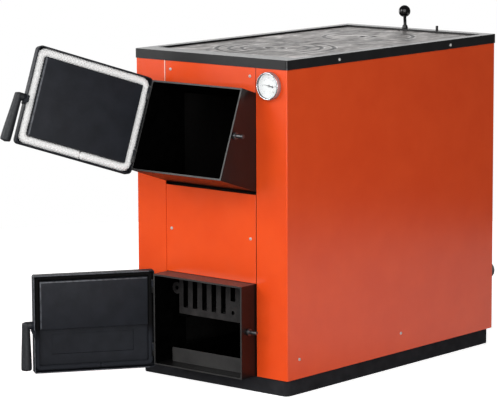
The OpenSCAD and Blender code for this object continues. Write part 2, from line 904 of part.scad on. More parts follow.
module hinge_pins() {
    color("#8f9296") {
        at_loading_hinge(0) door_pins();
        at_ash_hinge(0) door_pins();
    }
}

// Doors, drawn closed with X from the hinge line to the free edge

module door_shell(corner) {
    relief = knuckle_d / 2 + over;
    difference() {
        union() {
            difference() {
                on_door() translate([door_w / 2, 0, 0])
                    slab(door_w, door_h, corner, -door_t, door_lap);
                on_door() translate([door_w / 2, 0, 0])
                    slab(door_w - 2 * door_sheet, door_h - 2 * door_sheet, corner - door_sheet,
                         -door_t + door_sheet, door_lap + over);
                block([-hinge_inset - over, -relief, -door_h], [knuckle_d, relief, door_h]);
            }
            for (z = [-hinge_pitch / 2, hinge_pitch / 2]) translate([0, 0, z + gap]) {
                cylinder(d = knuckle_d, h = knuckle_l);
                block([-hinge_inset, -relief - door_sheet, 0], [0, 0, knuckle_l]);
            }
        }
        for (z = [-hinge_pitch / 2, hinge_pitch / 2])
            translate([0, 0, z + gap - over])
                cylinder(d = hinge_pin_d + bore_d, h = knuckle_l + 2 * over);
    }
}

// A closed loop of rope inside the door's skirt
module door_rope(d, corner) {
    inset = door_sheet + gap + d / 2;
    half_w = door_w / 2 - inset;
    half_h = door_h / 2 - inset;
    on_door() translate([door_w / 2, -gap - d / 2, 0]) {
        for (z = [-half_h, half_h])
            translate([0, 0, z]) rod_x(-half_w + corner, half_w - corner, d);
        for (x = [-half_w, half_w])
            translate([x, 0, -half_h + corner]) cylinder(d = d, h = 2 * (half_h - corner));
        for (side = [0, 1], end = [0, 1])
            mirror([side, 0, 0]) mirror([0, 0, end])
                translate([half_w - corner, 0, half_h - corner]) rotate([90, 0, 0])
                    rotate_extrude(angle = 90) translate([corner, 0]) circle(d = d);
    }
}

// The hook that turns with the handle, drawn for a pin that lies back and rise from its pivot
module latch_hook(back, rise) {
    low = -latch_d / 2 - over;
    tip = norm([back, rise]) + latch_d / 2 + over;
    rotate([atan2(rise, back) - latch_swing_angle, 0, 0]) difference() {
        union() {
            rod_x(gap, hook_t, grip_hub_d);
            block([gap, -hook_w / 2, low - hook_w], [hook_t, tip + hook_w * 2 / 3, low]);
            block([gap, tip, low - hook_w], [hook_t, tip + hook_w * 2 / 3, over]);
        }
        rod_x(-over, hook_t + over, pivot_d + bore_d);
    }
}

// Radius of the grip at a share of its length, rounded at both ends
function grip_r(s) = let(cap_share = 0.07, u = max(1 - s, s) / cap_share - 1 / cap_share + 1,
                         belly = (1 - cos(180 * s)) / 2)
    (grip_neck_r + (grip_end_r - grip_neck_r) * belly) * pow(max(0, 1 - pow(max(0, u), 3)), 1 / 3);

module handle_grip() {
    steps = 40;
    head = grip_hub_d / 2;
    difference() {
        union() {
            rod_x(hook_t + gap, grip_out, grip_hub_d);
            translate([grip_out, 0, 0]) rotate_extrude()
                polygon([for (i = [0:steps]) [grip_r(i / steps), head - (grip_l + head) * i / steps]]);
        }
        rod_x(0, grip_out + pivot_d / 2 + gap, pivot_d + bore_d);
    }
}

module pivot_bolt() {
    rod_x(0, grip_out + pivot_d / 2, pivot_d);
}

// Places a handle's pieces on the free edge of a closed door
module at_pivot(lean, drop) {
    translate([door_w - hinge_inset, -hinge_back - pivot_front, -drop]) rotate([-lean, 0, 0]) children();
}

module loading_door() {
    color("#2f3238") at_loading_hinge(loading_open_angle) door_shell(door_r);
}

// A folded pan that fills the space inside the rope, open towards the door's face
module inner_panel(border, z0, z1, rise) {
    low = [border, -door_t + door_sheet, z0];
    high = [door_w - border, rise, z1];
    on_door() difference() {
        block(low, high);
        block([low[0] + panel_sheet, low[1] - over, low[2] + panel_sheet],
              [high[0] - panel_sheet, high[1] - panel_sheet, high[2] - panel_sheet]);
    }
}

module loading_door_panel() {
    half = door_h / 2 - door_border;
    color("#2c2e34") at_loading_hinge(loading_open_angle) inner_panel(door_border, -half, half, panel_rise);
}

module loading_door_board() {
    half = door_h / 2 - door_border - panel_sheet - gap;
    side = door_border + panel_sheet + gap;
    color("#b9a777") at_loading_hinge(loading_open_angle) on_door()
        block([side, -door_t + door_sheet, -half],
              [door_w - side, panel_rise - panel_sheet - gap, half]);
}

module loading_door_rope() {
    color("#f2f2f0") at_loading_hinge(loading_open_angle) door_rope(rope_d, rope_r);
}

module loading_hook() {
    color("#2b2d32") at_loading_hinge(loading_open_angle) at_pivot(handle_lean_angle, loading_pivot_drop)
        latch_hook(loading_latch_back + pivot_front, loading_pivot_drop);
}

module loading_grip() {
    color("#1d1d1f") at_loading_hinge(loading_open_angle) at_pivot(handle_lean_angle, loading_pivot_drop)
        handle_grip();
}

module loading_pivot() {
    color("#8f9296") at_loading_hinge(loading_open_angle) at_pivot(handle_lean_angle, loading_pivot_drop)
        pivot_bolt();
}

module ash_door() {
    eye = flap_pin_d + bore_d;
    color("#2f3238") at_ash_hinge(ash_open_angle) difference() {
        union() {
            door_shell(ash_door_r);
            on_door() for (x = [flap_x - ear_w - gap, flap_x + flap_w + gap])
                block([x, flap_axis_y - barrel_d / 2, flap_axis_z - barrel_d / 2],
                      [x + ear_w, -door_t + door_sheet / 2, flap_axis_z + barrel_d / 2]);
        }
        on_door() block([air_x, -door_t - over, -air_drop - air_h],
                        [air_x + air_w, -door_t + door_sheet + over, -air_drop]);
        on_door() translate([0, flap_axis_y, flap_axis_z])
            rod_x(flap_x - ear_w - over, flap_x + flap_w + ear_w + over, eye);
    }
}

module ash_door_shield() {
    color("#2c2e34") at_ash_hinge(ash_open_angle)
        inner_panel(ash_border, shield_z, shield_z + shield_h, -over);
}

module ash_door_rope() {
    color("#1b1b1c") at_ash_hinge(ash_open_angle) door_rope(ash_rope_d, ash_rope_r);
}

module ash_hook() {
    color("#2b2d32") at_ash_hinge(ash_open_angle) at_pivot(0, ash_pivot_drop)
        latch_hook(ash_latch_back + pivot_front, ash_pivot_drop);
}

module ash_grip() {
    color("#1d1d1f") at_ash_hinge(ash_open_angle) at_pivot(0, ash_pivot_drop) handle_grip();
}

module ash_pivot() {
    color("#8f9296") at_ash_hinge(ash_open_angle) at_pivot(0, ash_pivot_drop) pivot_bolt();
}

module air_flap() {
    face = -door_t - gap;
    bottom = -air_drop - air_h - flap_lap;
    mid = air_x + air_w / 2;
    lug_w = lug_l;
    hole_d = lug_l / 2;
    color("#2f3238") at_ash_hinge(ash_open_angle) on_door() difference() {
        union() {
            block([flap_x, face - flap_t, bottom], [flap_x + flap_w, face, flap_axis_z - flap_t]);
            translate([0, flap_axis_y, flap_axis_z]) rod_x(flap_x, flap_x + flap_w, barrel_d);
            block([mid - lug_w / 2, face - flap_t - lug_l, bottom],
                  [mid + lug_w / 2, face - flap_t / 2, bottom + flap_t]);
        }
        translate([0, flap_axis_y, flap_axis_z])
            rod_x(flap_x - over, flap_x + flap_w + over, flap_pin_d + bore_d);
        translate([mid, face - flap_t - lug_l / 2, bottom - over])
            cylinder(d = hole_d, h = flap_t + 2 * over);
    }
}

module air_flap_pin() {
    head_t = 2 * over;
    color("#8f9296") at_ash_hinge(ash_open_angle) on_door() translate([0, flap_axis_y, flap_axis_z]) {
        rod_x(flap_x - ear_w - gap, flap_x + flap_w + ear_w + gap, flap_pin_d);
        rod_x(flap_x - ear_w - gap - head_t, flap_x - ear_w - gap, flap_pin_d + 2 * over);
    }
}

// Grates and ash pan

module fire_grate() {
    half = firebox_w / 2 - firebox_t - 4 * over;
    front = firebox_front + firebox_t + 4 * over;
    grate_d = firebox_back - firebox_t - grate_rear - front;
    count = floor((half - bar_w) / bar_pitch);
    rim = bar_w * 3 / 2;
    color("#35322f") difference() {
        block([-half, front, grate_z - grate_t], [half, front + grate_d, grate_z]);
        for (i = [-count:count]) for (part = [0, 1])
            block([i * bar_pitch - (bar_pitch - bar_w) / 2, front + rim + part * grate_d / 2,
                   grate_z - grate_t - over],
                  [i * bar_pitch + (bar_pitch - bar_w) / 2, front + grate_d / 2 - rim / 2 * (1 - part)
                   + part * (grate_d / 2 - rim), grate_z + over]);
    }
}

module grate_supports() {
    half = firebox_w / 2 - firebox_t;
    front = firebox_front + firebox_t + gap;
    back = firebox_back - firebox_t - gap;
    leg = 2 * grate_t;
    top = grate_z - grate_t;
    color("#3b3a3a") for (side = [-1, 1]) mirror([side < 0 ? 1 : 0, 0, 0]) {
        block([half - leg, front, top - firebox_t], [half, back, top]);
        block([half - firebox_t, front, top - leg], [half, back, top - firebox_t / 2]);
    }
}

module fence_grate() {
    fence_w = ash_w - 2 * chute_t - 2 * fence_side;
    front = front_y + fence_back;
    top = ash_top - chute_t - gap;
    slot = bar_pitch - bar_w;
    slot_top = top - slot;
    slot_z = fence_z + fence_foot;
    short_z = slot_z + 2 * fence_foot;
    ear = slot;
    ear_z = top - 5 * ear / 2;
    hole_d = slot * 2 / 3;
    color("#8a8785") difference() {
        union() {
            block([-fence_w / 2, front, fence_z], [fence_w / 2, front + fence_t, top]);
            translate([-fence_w / 2 - ear / 2, 0, ear_z]) rod_y(front, front + fence_t, 2 * ear);
        }
        for (i = [-3:3])
            block([i * bar_pitch - slot / 2, front - over, i == 2 ? short_z : slot_z],
                  [i * bar_pitch + slot / 2, front + fence_t + over, slot_top]);
        translate([2 * bar_pitch, 0, slot_z + hole_d / 2])
            rod_y(front - over, front + fence_t + over, hole_d);
        translate([-fence_w / 2 - ear / 2, 0, ear_z])
            rod_y(front - over, front + fence_t + over, hole_d);
    }
}

module fence_brackets() {
    half = ash_w / 2 - chute_t;
    front = front_y + fence_back - fence_t;
    reach = fence_side + 2 * bar_w;
    color("#55575b") for (side = [-1, 1]) mirror([side < 0 ? 1 : 0, 0, 0]) {
        block([half - reach, front, fence_z - chute_t], [half, front + 3 * fence_t, fence_z]);
        block([half - chute_t, front, fence_z - chute_t - 2 * bar_w],
              [half, front + 3 * fence_t, fence_z - chute_t / 2]);
    }
}

module ash_pan() {
    z = base_h + floor_t + gap;
    pan_w = ash_w - 2 * chute_t - 2 * pan_side;
    front = front_y - pan_front;
    back = firebox_back - firebox_t - pan_rear;
    color("#4b4d52") difference() {
        block([-pan_w / 2, front, z], [pan_w / 2, back, z + pan_h]);
        block([-pan_w / 2 + pan_t, front + pan_t, z + pan_t],
              [pan_w / 2 - pan_t, back - pan_t, z + pan_h + over]);
    }
}

// Smoke outlet and damper

module smoke_box() {
    half = smoke_w / 2;
    front = firebox_back - firebox_t;
    top = smoke_z + smoke_h;
    rest_h = 2 * smoke_t;
    color("#3b3a3a") difference() {
        union() {
            difference() {
                block([-half, front, smoke_z], [half, smoke_back, top]);
                block([-half + smoke_t, front - over, smoke_z + smoke_t],
                      [half - smoke_t, smoke_back - smoke_t / 2, top - smoke_t]);
            }
            translate([-spindle_x, spindle_y, smoke_z + smoke_t / 2])
                cylinder(d = sleeve_d, h = rest_h - smoke_t / 2);
        }
        translate([0, 0, flue_z]) rod_y(front, rear_y + over, flue_d - 2 * flue_t);
        translate([-spindle_x, spindle_y, smoke_z + smoke_t])
            cylinder(d = spindle_d + bore_d, h = smoke_h + over);
    }
}

module flue_socket() {
    color("#5c6066") translate([0, 0, flue_z]) difference() {
        rod_y(smoke_back, rear_y + flue_l, flue_d);
        rod_y(smoke_back - over, rear_y + flue_l + over, flue_d - 2 * flue_t);
    }
}

module damper_flap() {
    low = smoke_z + 2 * smoke_t + over;
    high = smoke_z + smoke_h - smoke_t - over;
    color("#4b4d52") difference() {
        union() {
            block([-spindle_x, spindle_y - flap_t / 2, low],
                  [smoke_w / 2 - smoke_t - over, spindle_y + flap_t / 2, high]);
            translate([-spindle_x, spindle_y, low]) cylinder(d = sleeve_d, h = high - low);
        }
        translate([-spindle_x, spindle_y, low - over])
            cylinder(d = spindle_d + bore_d, h = high - low + 2 * over);
    }
}

// A round rod between two points, with a ball at its start
module lever_rod(from, to, d) {
    run = to - from;
    flat = sqrt(run[0] * run[0] + run[1] * run[1]);
    translate(from) {
        sphere(d = d);
        rotate([0, atan2(flat, run[2]), atan2(run[1], run[0])]) cylinder(d = d, h = norm(run));
    }
}

knob_place = [-spindle_x + lean_x_share * knob_throw, spindle_y + lean_y_share * knob_throw,
              body_h + knob_rise];

module damper_spindle() {
    bend = [-spindle_x, spindle_y, body_h + collar_h + spindle_d / 2];
    low = smoke_z + smoke_t + gap;
    color("#2b2b2d") {
        translate([-spindle_x, spindle_y, low]) cylinder(d = spindle_d, h = bend[2] - low);
        difference() {
            lever_rod(bend, knob_place, spindle_d);
            translate(knob_place) sphere(d = knob_d + gap);
        }
    }
}

module damper_collar() {
    color("#2b2b2d") translate([-spindle_x, spindle_y, body_h]) difference() {
        cylinder(d1 = collar_d, d2 = spindle_d + 3 * over, h = collar_h);
        translate([0, 0, -over]) cylinder(d = spindle_d + bore_d, h = collar_h + 2 * over);
    }
}

module damper_knob() {
    color("#141415") translate(knob_place) sphere(d = knob_d);
}

module rear_stud() {
    color("#1d1d1f") translate([stud_x, spindle_y, ledge_z])
        cylinder(d = stud_d, h = body_h - ledge_z + stud_rise);
}

// Water nozzles

module nozzle() {
    difference() {
        union() {
            rod_y(jacket_back - jacket_t, rear_y + panel_inset, nozzle_d + 2 * nozzle_collar);
            rod_y(jacket_back - jacket_t, rear_y + nozzle_l, nozzle_d);
        }
        rod_y(jacket_back - jacket_t - over, rear_y + nozzle_l + over, nozzle_d - 2 * nozzle_t);
    }
}

module supply_nozzle() {
    color("#232426") translate([-nozzle_x, 0, supply_z]) nozzle();
}

module return_nozzle() {
    color("#232426") translate([nozzle_x, 0, return_z]) nozzle();
}

// Thermometer

module thermometer_case() {
    back = front_y - gauge_back;
    color("#c8cacd") translate([gauge_x, 0, gauge_z]) difference() {
        union() {
            rod_y(gauge_front + over, front_y, gauge_d);
            translate([0, gauge_front + over, 0]) rotate([90, 0, 0])
                cylinder(d1 = gauge_d, d2 = gauge_d - 2 * over, h = over);
            rod_y(front_y, front_y + stem_l, stem_d);
        }
        rod_y(gauge_front - over, back, dial_d + 2 * gap);
    }
}

module thermometer_dial() {
    back = front_y - gauge_back;
    pivot = 3 * over / 2;
    color("#f7f7f5") translate([gauge_x, 0, gauge_z]) {
        rod_y(back - dial_t, back, dial_d);
        rod_y(back - dial_t - needle_t - 3 * gap, back - dial_t, pivot);
    }
}

module thermometer_needle() {
    face = front_y - gauge_back - dial_t - gap;
    hub = 5 * over;
    pivot = 3 * over / 2 + bore_d;
    tail_w = 4 * over;
    color("#2b2b2d") translate([gauge_x, 0, gauge_z]) difference() {
        union() {
            rod_y(face - needle_t, face, hub);
            rotate([0, needle_angle, 0]) translate([0, face, 0]) rotate([90, 0, 0])
                linear_extrude(needle_t) {
                    polygon([[0, over], [-needle_l, 0], [0, -over]]);
                    polygon([[0, over / 2], [tail_l, tail_w / 2], [tail_l, -tail_w / 2], [0, -over / 2]]);
                }
        }
        rod_y(face - needle_t - over, face + over, pivot);
    }
}

module thermometer_glass() {
    front = gauge_front + over;
    color([0.9, 0.95, 1, 0.3]) translate([gauge_x, 0, gauge_z])
        rod_y(front, front + glass_t, dial_d);
}

base_plinth();
side_panel_left();
side_panel_right();
front_panel_top();
front_panel_middle();
rear_panel();
front_screws();
side_screws();
rim_screws();
top_frame();
cooking_plate();
burner_ring_outer();
burner_ring_inner();
burner_lid_front();
burner_lid_rear();
firebox_shell();
water_jacket();
water_shelf();
ash_floor();
insulation_left();
insulation_right();
insulation_rear();
loading_chute();
ash_frame();
latch_pins();
hinge_pins();
loading_door();
loading_door_panel();
loading_door_board();
loading_door_rope();
loading_hook();
loading_grip();
loading_pivot();
ash_door();
ash_door_shield();
ash_door_rope();
ash_hook();
ash_grip();
ash_pivot();
air_flap();
air_flap_pin();
fire_grate();
grate_supports();
fence_grate();
fence_brackets();
ash_pan();
smoke_box();
flue_socket();
damper_flap();
damper_spindle();
damper_collar();
damper_knob();
rear_stud();
supply_nozzle();
return_nozzle();
thermometer_case();
thermometer_dial();
thermometer_needle();
thermometer_glass();
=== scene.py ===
"""Solid fuel boiler with a cooking plate: finishes, small parts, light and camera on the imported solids."""

import json
import math
from collections import namedtuple
from functools import cache

import bmesh
import bpy
from bpy.props import FloatProperty, FloatVectorProperty, PointerProperty
from mathutils import Matrix, Vector


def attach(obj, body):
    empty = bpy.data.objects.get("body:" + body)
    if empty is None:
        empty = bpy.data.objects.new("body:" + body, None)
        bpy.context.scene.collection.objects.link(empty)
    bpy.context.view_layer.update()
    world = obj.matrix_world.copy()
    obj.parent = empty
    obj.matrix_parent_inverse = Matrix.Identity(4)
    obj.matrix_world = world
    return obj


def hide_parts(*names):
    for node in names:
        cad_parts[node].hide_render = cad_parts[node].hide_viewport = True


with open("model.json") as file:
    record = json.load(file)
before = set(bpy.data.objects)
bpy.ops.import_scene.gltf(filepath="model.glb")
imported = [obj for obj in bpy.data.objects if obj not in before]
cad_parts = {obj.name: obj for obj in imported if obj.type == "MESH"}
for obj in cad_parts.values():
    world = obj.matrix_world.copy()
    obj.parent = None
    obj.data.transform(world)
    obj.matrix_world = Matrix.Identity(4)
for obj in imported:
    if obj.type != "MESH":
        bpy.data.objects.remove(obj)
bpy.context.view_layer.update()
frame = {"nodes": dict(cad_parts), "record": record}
BODY_OF = {n: b for b, ns in frame["record"]["behaviour"]["bodies"].items() for n in ns}
SLOT_OF = {s["node"]: s["material_slot"] for s in frame["record"]["subparts"]}

bl_info = {
    "name": "Solid fuel boiler",
    "version": (1, 0, 0),
    "blender": (4, 5, 0),
    "location": "3D View > Sidebar > Boiler",
    "description": "Dresses the packed boiler with its finishes, small parts, light and camera",
    "category": "Object",
}

# Lengths below are in mm where nothing else is said
MM = 0.001


def box_of(node):
    """The low and high corners of a node's solid."""
    points = [v.co for v in frame["nodes"][node].data.vertices]
    return Vector(map(min, zip(*points))), Vector(map(max, zip(*points)))


def centre_of(node):
    """The middle of a node's box."""
    low, high = box_of(node)
    return (low + high) / 2


# Vertices closer than this are merged, faces flatter than this many degrees are joined, and a vertex this
# near to a plane lies on it
DOUBLES = 0.002
FLAT_ANGLE = 0.3
NEAR = 0.2

# Each burner: the Y of its middle in metres, the radii of its joints, and how far apart its pockets are
Burner = namedtuple("Burner", "y joints pocket_pitch")
BURNERS = (
    Burner(centre_of("burner_lid_front").y, (138, 108.5, 79), 36),
    Burner(centre_of("burner_lid_rear").y, (109,), 28),
)

# The lifting pockets' radius, and how far they reach from the burner's middle
POCKET_RADIUS = 6
POCKETS_REACH = 40

# The real plate's turning marks are too fine to show, so they are drawn this far apart
GROOVE_PITCH = 1.9

# Frames in the middle of the chute's mouth and of the ash frame's, with Y into the boiler
MOUTH_SPOT = Matrix.Translation((1.5 * MM, -482.5 * MM, 604 * MM))
MOUTH = MOUTH_SPOT @ Matrix.Rotation(math.radians(-18), 4, "X")
ASH_MOUTH = Matrix.Translation((0, -448 * MM, 145 * MM))
MOUTH_WALL = 2.9

# The corner frames of the two doors as they stand open: X to the free edge, Y into the boiler
LOADING = (
    MOUTH_SPOT
    @ Matrix.Rotation(math.radians(-20.7), 4, "X")
    @ Matrix.Translation((-141 * MM, 6 * MM, 0))
    @ Matrix.Rotation(math.radians(-118), 4, "Z")
    @ Matrix.Translation((-4 * MM, -6 * MM, 0))
)
ASH = (
    Matrix.Translation((-140 * MM, -442 * MM, 145 * MM))
    @ Matrix.Rotation(math.radians(-125.5), 4, "Z")
    @ Matrix.Translation((-4 * MM, -6 * MM, 0))
)

# In those frames: the middle of a door's width, the fronts of the inner sheets, the height of the ash door's
# rim, and the corners of a box round its air opening's walls
DOOR_MIDDLE = 143
PANEL_FRONT = 8
SHIELD_FRONT = -1
ASH_DOOR_RIM = 3
AIR_OPENING = ((20, -100, -105), (266, -17, -20))

# Heights over which the black rope turns grey towards the floor, so its black, also painted shade round the
# shield, stays above them; and the height above which the left panel's fold has a painted highlight
ROPE_SHADE_FADE = (100, 130)
HIGHLIGHT_FROM = 620

# Screws: the head's rise, its profile as shares of radius and rise, the recess and the shank
HEAD_RISE = 1.9
HEAD_CURVE = ((1.0, 0.35), (0.93, 0.7), (0.78, 0.92), (0.62, 1.0))
RECESS_DEPTH = 1.2
SHANK_RADIUS = 1.9
SHANK_ROOT = 1.55
SCREW_PITCH = 0.7

# Ropes: strands each way round, the length of a strand's crossing, and where and how wide the butt is
STRANDS = 6
STRAND_PITCH = 7.0
BUTT_SHARE = 0.44
BUTT_WIDTH = 1.6

# The way that the damper's lever leans
LEVER_WAY = (-0.65, 0.76, 1.9)

# Thermometer: (radius, height) of the case from the end of its stem to the middle of its floor
STEM_LENGTH = 14
BEZEL_PROFILE = (
    (0, -STEM_LENGTH), (4.5, -STEM_LENGTH), (5, -13.5), (5, 0), (31.1, 0), (31.5, 0.4), (31.5, 8.3),
    (30.8, 8.7), (30.8, 9.3), (31.5, 9.7), (31.5, 11.2), (31.2, 12.2), (30.5, 12.8), (29.6, 13), (28.7, 12.7),
    (28.2, 12), (28.2, 7.4), (28.2, 3), (0, 3),
)
NEEDLE_ANGLE = math.radians(8)

# The dial's scale in degrees, and the strokes of its figures in a cell one unit wide and two high
SCALE_START = 225
SCALE_SWEEP = 270
STROKES = {
    "0": ((0, 0, 1, 0), (1, 0, 1, 2), (1, 2, 0, 2), (0, 2, 0, 0)),
    "1": ((0.5, 0, 0.5, 2), (0.1, 1.6, 0.5, 2)),
    "2": ((0, 2, 1, 2), (1, 2, 1, 1), (1, 1, 0, 1), (0, 1, 0, 0), (0, 0, 1, 0)),
    "4": ((0, 2, 0, 1), (0, 1, 1, 1), (1, 2, 1, 0)),
    "6": ((1, 2, 0, 2), (0, 2, 0, 0), (0, 0, 1, 0), (1, 0, 1, 1), (1, 1, 0, 1)),
    "8": ((0, 0, 1, 0), (1, 0, 1, 2), (1, 2, 0, 2), (0, 2, 0, 0), (0, 1, 1, 1)),
}

# Stage: the camera's place in metres, its turn, dip and roll in degrees, its lens, and the floor in metres
CAMERA_SPOT = (4.105, -5.0816, 1.4026)
CAMERA_TURN = 40.422
CAMERA_DIP = 8.860
CAMERA_ROLL = -0.256
CAMERA_LENS = 198.6
FLOOR_RADIUS = 2.1


# Colours, nodes and noises


def linear(code):
    """An sRGB hex colour as linear RGBA."""
    channels = [int(code[i : i + 2], 16) / 255 for i in (1, 3, 5)]
    return tuple(c / 12.92 if c <= 0.04045 else ((c + 0.055) / 1.055) ** 2.4 for c in channels) + (1.0,)


def put(tree, kind, inputs=None, **settings):
    """Adds a node with its settings, and sets or links its inputs."""
    made = tree.nodes.new("ShaderNode" + kind)
    for name, value in settings.items():
        setattr(made, name, value)
    for name, value in (inputs or {}).items():
        if isinstance(value, bpy.types.NodeSocket):
            tree.links.new(value, made.inputs[name])
        else:
            made.inputs[name].default_value = value
    return made


SOCKETS = {"metallic": "Metallic", "specular": "Specular IOR Level", "alpha": "Alpha"}

# A noise: the size of its features in mm, its detail, its stretch along X, Y and Z, and its swirl
Noise = namedtuple("Noise", "size detail stretch swirl", defaults=(None, 0.0))


def mottled(name, cloud, colours, gloss, rough, skin=None, depth=0.0, strength=1.0, **fixed):
    """A finish whose colour, roughness and relief each follow a noise of a real size.

    The colours are (place, hex) stops along the noise cloud. Roughness runs between two values along
    the noise gloss, or is one value without it. Bumps of a depth in mm follow the noise skin.
    """
    material = bpy.data.materials.new(name)
    material.use_nodes = True
    tree = material.node_tree
    tree.nodes.clear()
    shader = put(tree, "BsdfPrincipled")
    put(tree, "OutputMaterial", {"Surface": shader.outputs["BSDF"]})
    where = put(tree, "TexCoord").outputs["Object"]
    drawn = []
    for noise in (cloud, gloss, skin):
        if noise:
            place = where
            if noise.stretch:
                place = put(tree, "Mapping", {"Vector": where, "Scale": noise.stretch}).outputs["Vector"]
            scale = 1 / (noise.size * MM)
            inputs = {"Vector": place, "Scale": scale, "Detail": noise.detail, "Distortion": noise.swirl}
            drawn.append(put(tree, "TexNoise", inputs).outputs["Fac"])
        else:
            drawn.append(None)

    ramp = put(tree, "ValToRGB", {"Fac": drawn[0]})
    stops = ramp.color_ramp.elements
    while len(stops) < len(colours):
        stops.new(0.5)
    for stop, (place, shade) in zip(stops, colours):
        stop.position = place
        stop.color = linear(shade) if isinstance(shade, str) else (*shade, 1.0)
    tree.links.new(ramp.outputs["Color"], shader.inputs["Base Color"])
    if gloss:
        low, high = rough
        sheen = put(tree, "MapRange", {
            "Value": drawn[1], "From Min": 0.3, "From Max": 0.7, "To Min": low, "To Max": high
        })
        tree.links.new(sheen.outputs["Result"], shader.inputs["Roughness"])
    else:
        shader.inputs["Roughness"].default_value = rough
    if skin:
        bump = put(tree, "Bump", {"Height": drawn[2], "Distance": depth * MM, "Strength": strength})
        tree.links.new(bump.outputs["Normal"], shader.inputs["Normal"])
    for socket, value in fixed.items():
        shader.inputs[SOCKETS[socket]].default_value = value
    return material


# Finishes


@cache
def orange_powder_coat():
    """Polyester powder coat baked on sheet steel: an even satin orange with a fine orange peel."""
    own = bpy.context.scene.boiler_colours
    return mottled(
        "orange_powder_coat", Noise(90, 3), ((0.35, own.coat_shade), (0.65, own.coat)),
        Noise(14, 3), (0.2, 0.26), Noise(1.6, 1), 0.02, 0.3,
    )


@cache
def painted_fold_highlight():
    """Pale pink powder coat on the panels' rounded folds: a painted highlight where they catch the light."""
    return mottled(
        "painted_fold_highlight", Noise(120, 3), ((0.35, "#F9B294"), (0.65, "#FDD8C8")),
        Noise(10, 3), (0.15, 0.25), Noise(1.6, 1), 0.02, 0.3,
    )


@cache
def black_stove_paint():
    """Black heat-resistant lacquer sprayed on the top frame: semi-gloss with a light speckle."""
    own = bpy.context.scene.boiler_colours
    return mottled(
        "black_stove_paint", Noise(20, 4), ((0.3, own.frame_shade), (0.7, own.frame)),
        Noise(6, 4), (0.28, 0.36), Noise(0.9, 2), 0.03, 0.3,
    )


@cache
def matt_base_paint():
    """Dull black primer brushed on the base: chalky, with floor dirt in it, so it hardly shines."""
    return mottled(
        "matt_base_paint", Noise(30, 5), ((0.3, "#262628"), (0.7, "#2F2F32")),
        Noise(9, 4), (0.75, 0.9), Noise(1.2, 3), 0.05, 0.4, specular=0.0,
    )


@cache
def mouth_paint():
    """Black stove enamel brushed on the two mouths: glossier than the doors, so it takes up orange."""
    return mottled(
        "mouth_paint", Noise(25, 4), ((0.3, "#0A0909"), (0.7, "#0F0E0E")),
        Noise(7, 4), (0.3, 0.4), Noise(1.1, 3), 0.03, 0.4, specular=0.42,
    )


@cache
def oiled_sheet():
    """Bare sheet, oiled and dusted with ash, of the ash pan and the ash frame's rim: dull dark grey."""
    return mottled(
        "oiled_sheet", Noise(40, 5), ((0.3, "#242323"), (0.7, "#2F2E2D")),
        Noise(10, 4), (0.5, 0.65), Noise(1.5, 3), 0.03, 0.4,
    )


@cache
def worn_edge_and_highlight():
    """Pale grey steel, lightly scratched along the edge: the worn front edges of the chute's mouth, and a
    painted highlight on the top frame's front corners.
    """
    return mottled(
        "worn_edge_and_highlight", Noise(12, 5), ((0.35, "#6E6D6E"), (0.6, "#A3A1A0")),
        Noise(3, 4), (0.4, 0.6), Noise(0.8, 3), 0.02, 0.4, metallic=0.3,
    )


@cache
def highlight_grey_paint():
    """Graphite paint in a lighter grey: a painted highlight on the doors' folds and the ash door's rim."""
    return mottled(
        "highlight_grey_paint", Noise(9, 5), ((0.35, "#34363B"), (0.65, "#565960")),
        Noise(4, 3), (0.4, 0.55), Noise(0.8, 3), 0.02, 0.4,
    )


@cache
def grey_stove_paint():
    """Graphite heat-resistant paint sprayed on the doors: dry, slightly blue, finely grained."""
    own = bpy.context.scene.boiler_colours
    return mottled(
        "grey_stove_paint", Noise(35, 5), ((0.3, own.door_shade), (0.7, own.door)),
        Noise(8, 4), (0.5, 0.62), Noise(0.8, 3), 0.03, 0.4, specular=0.15,
    )


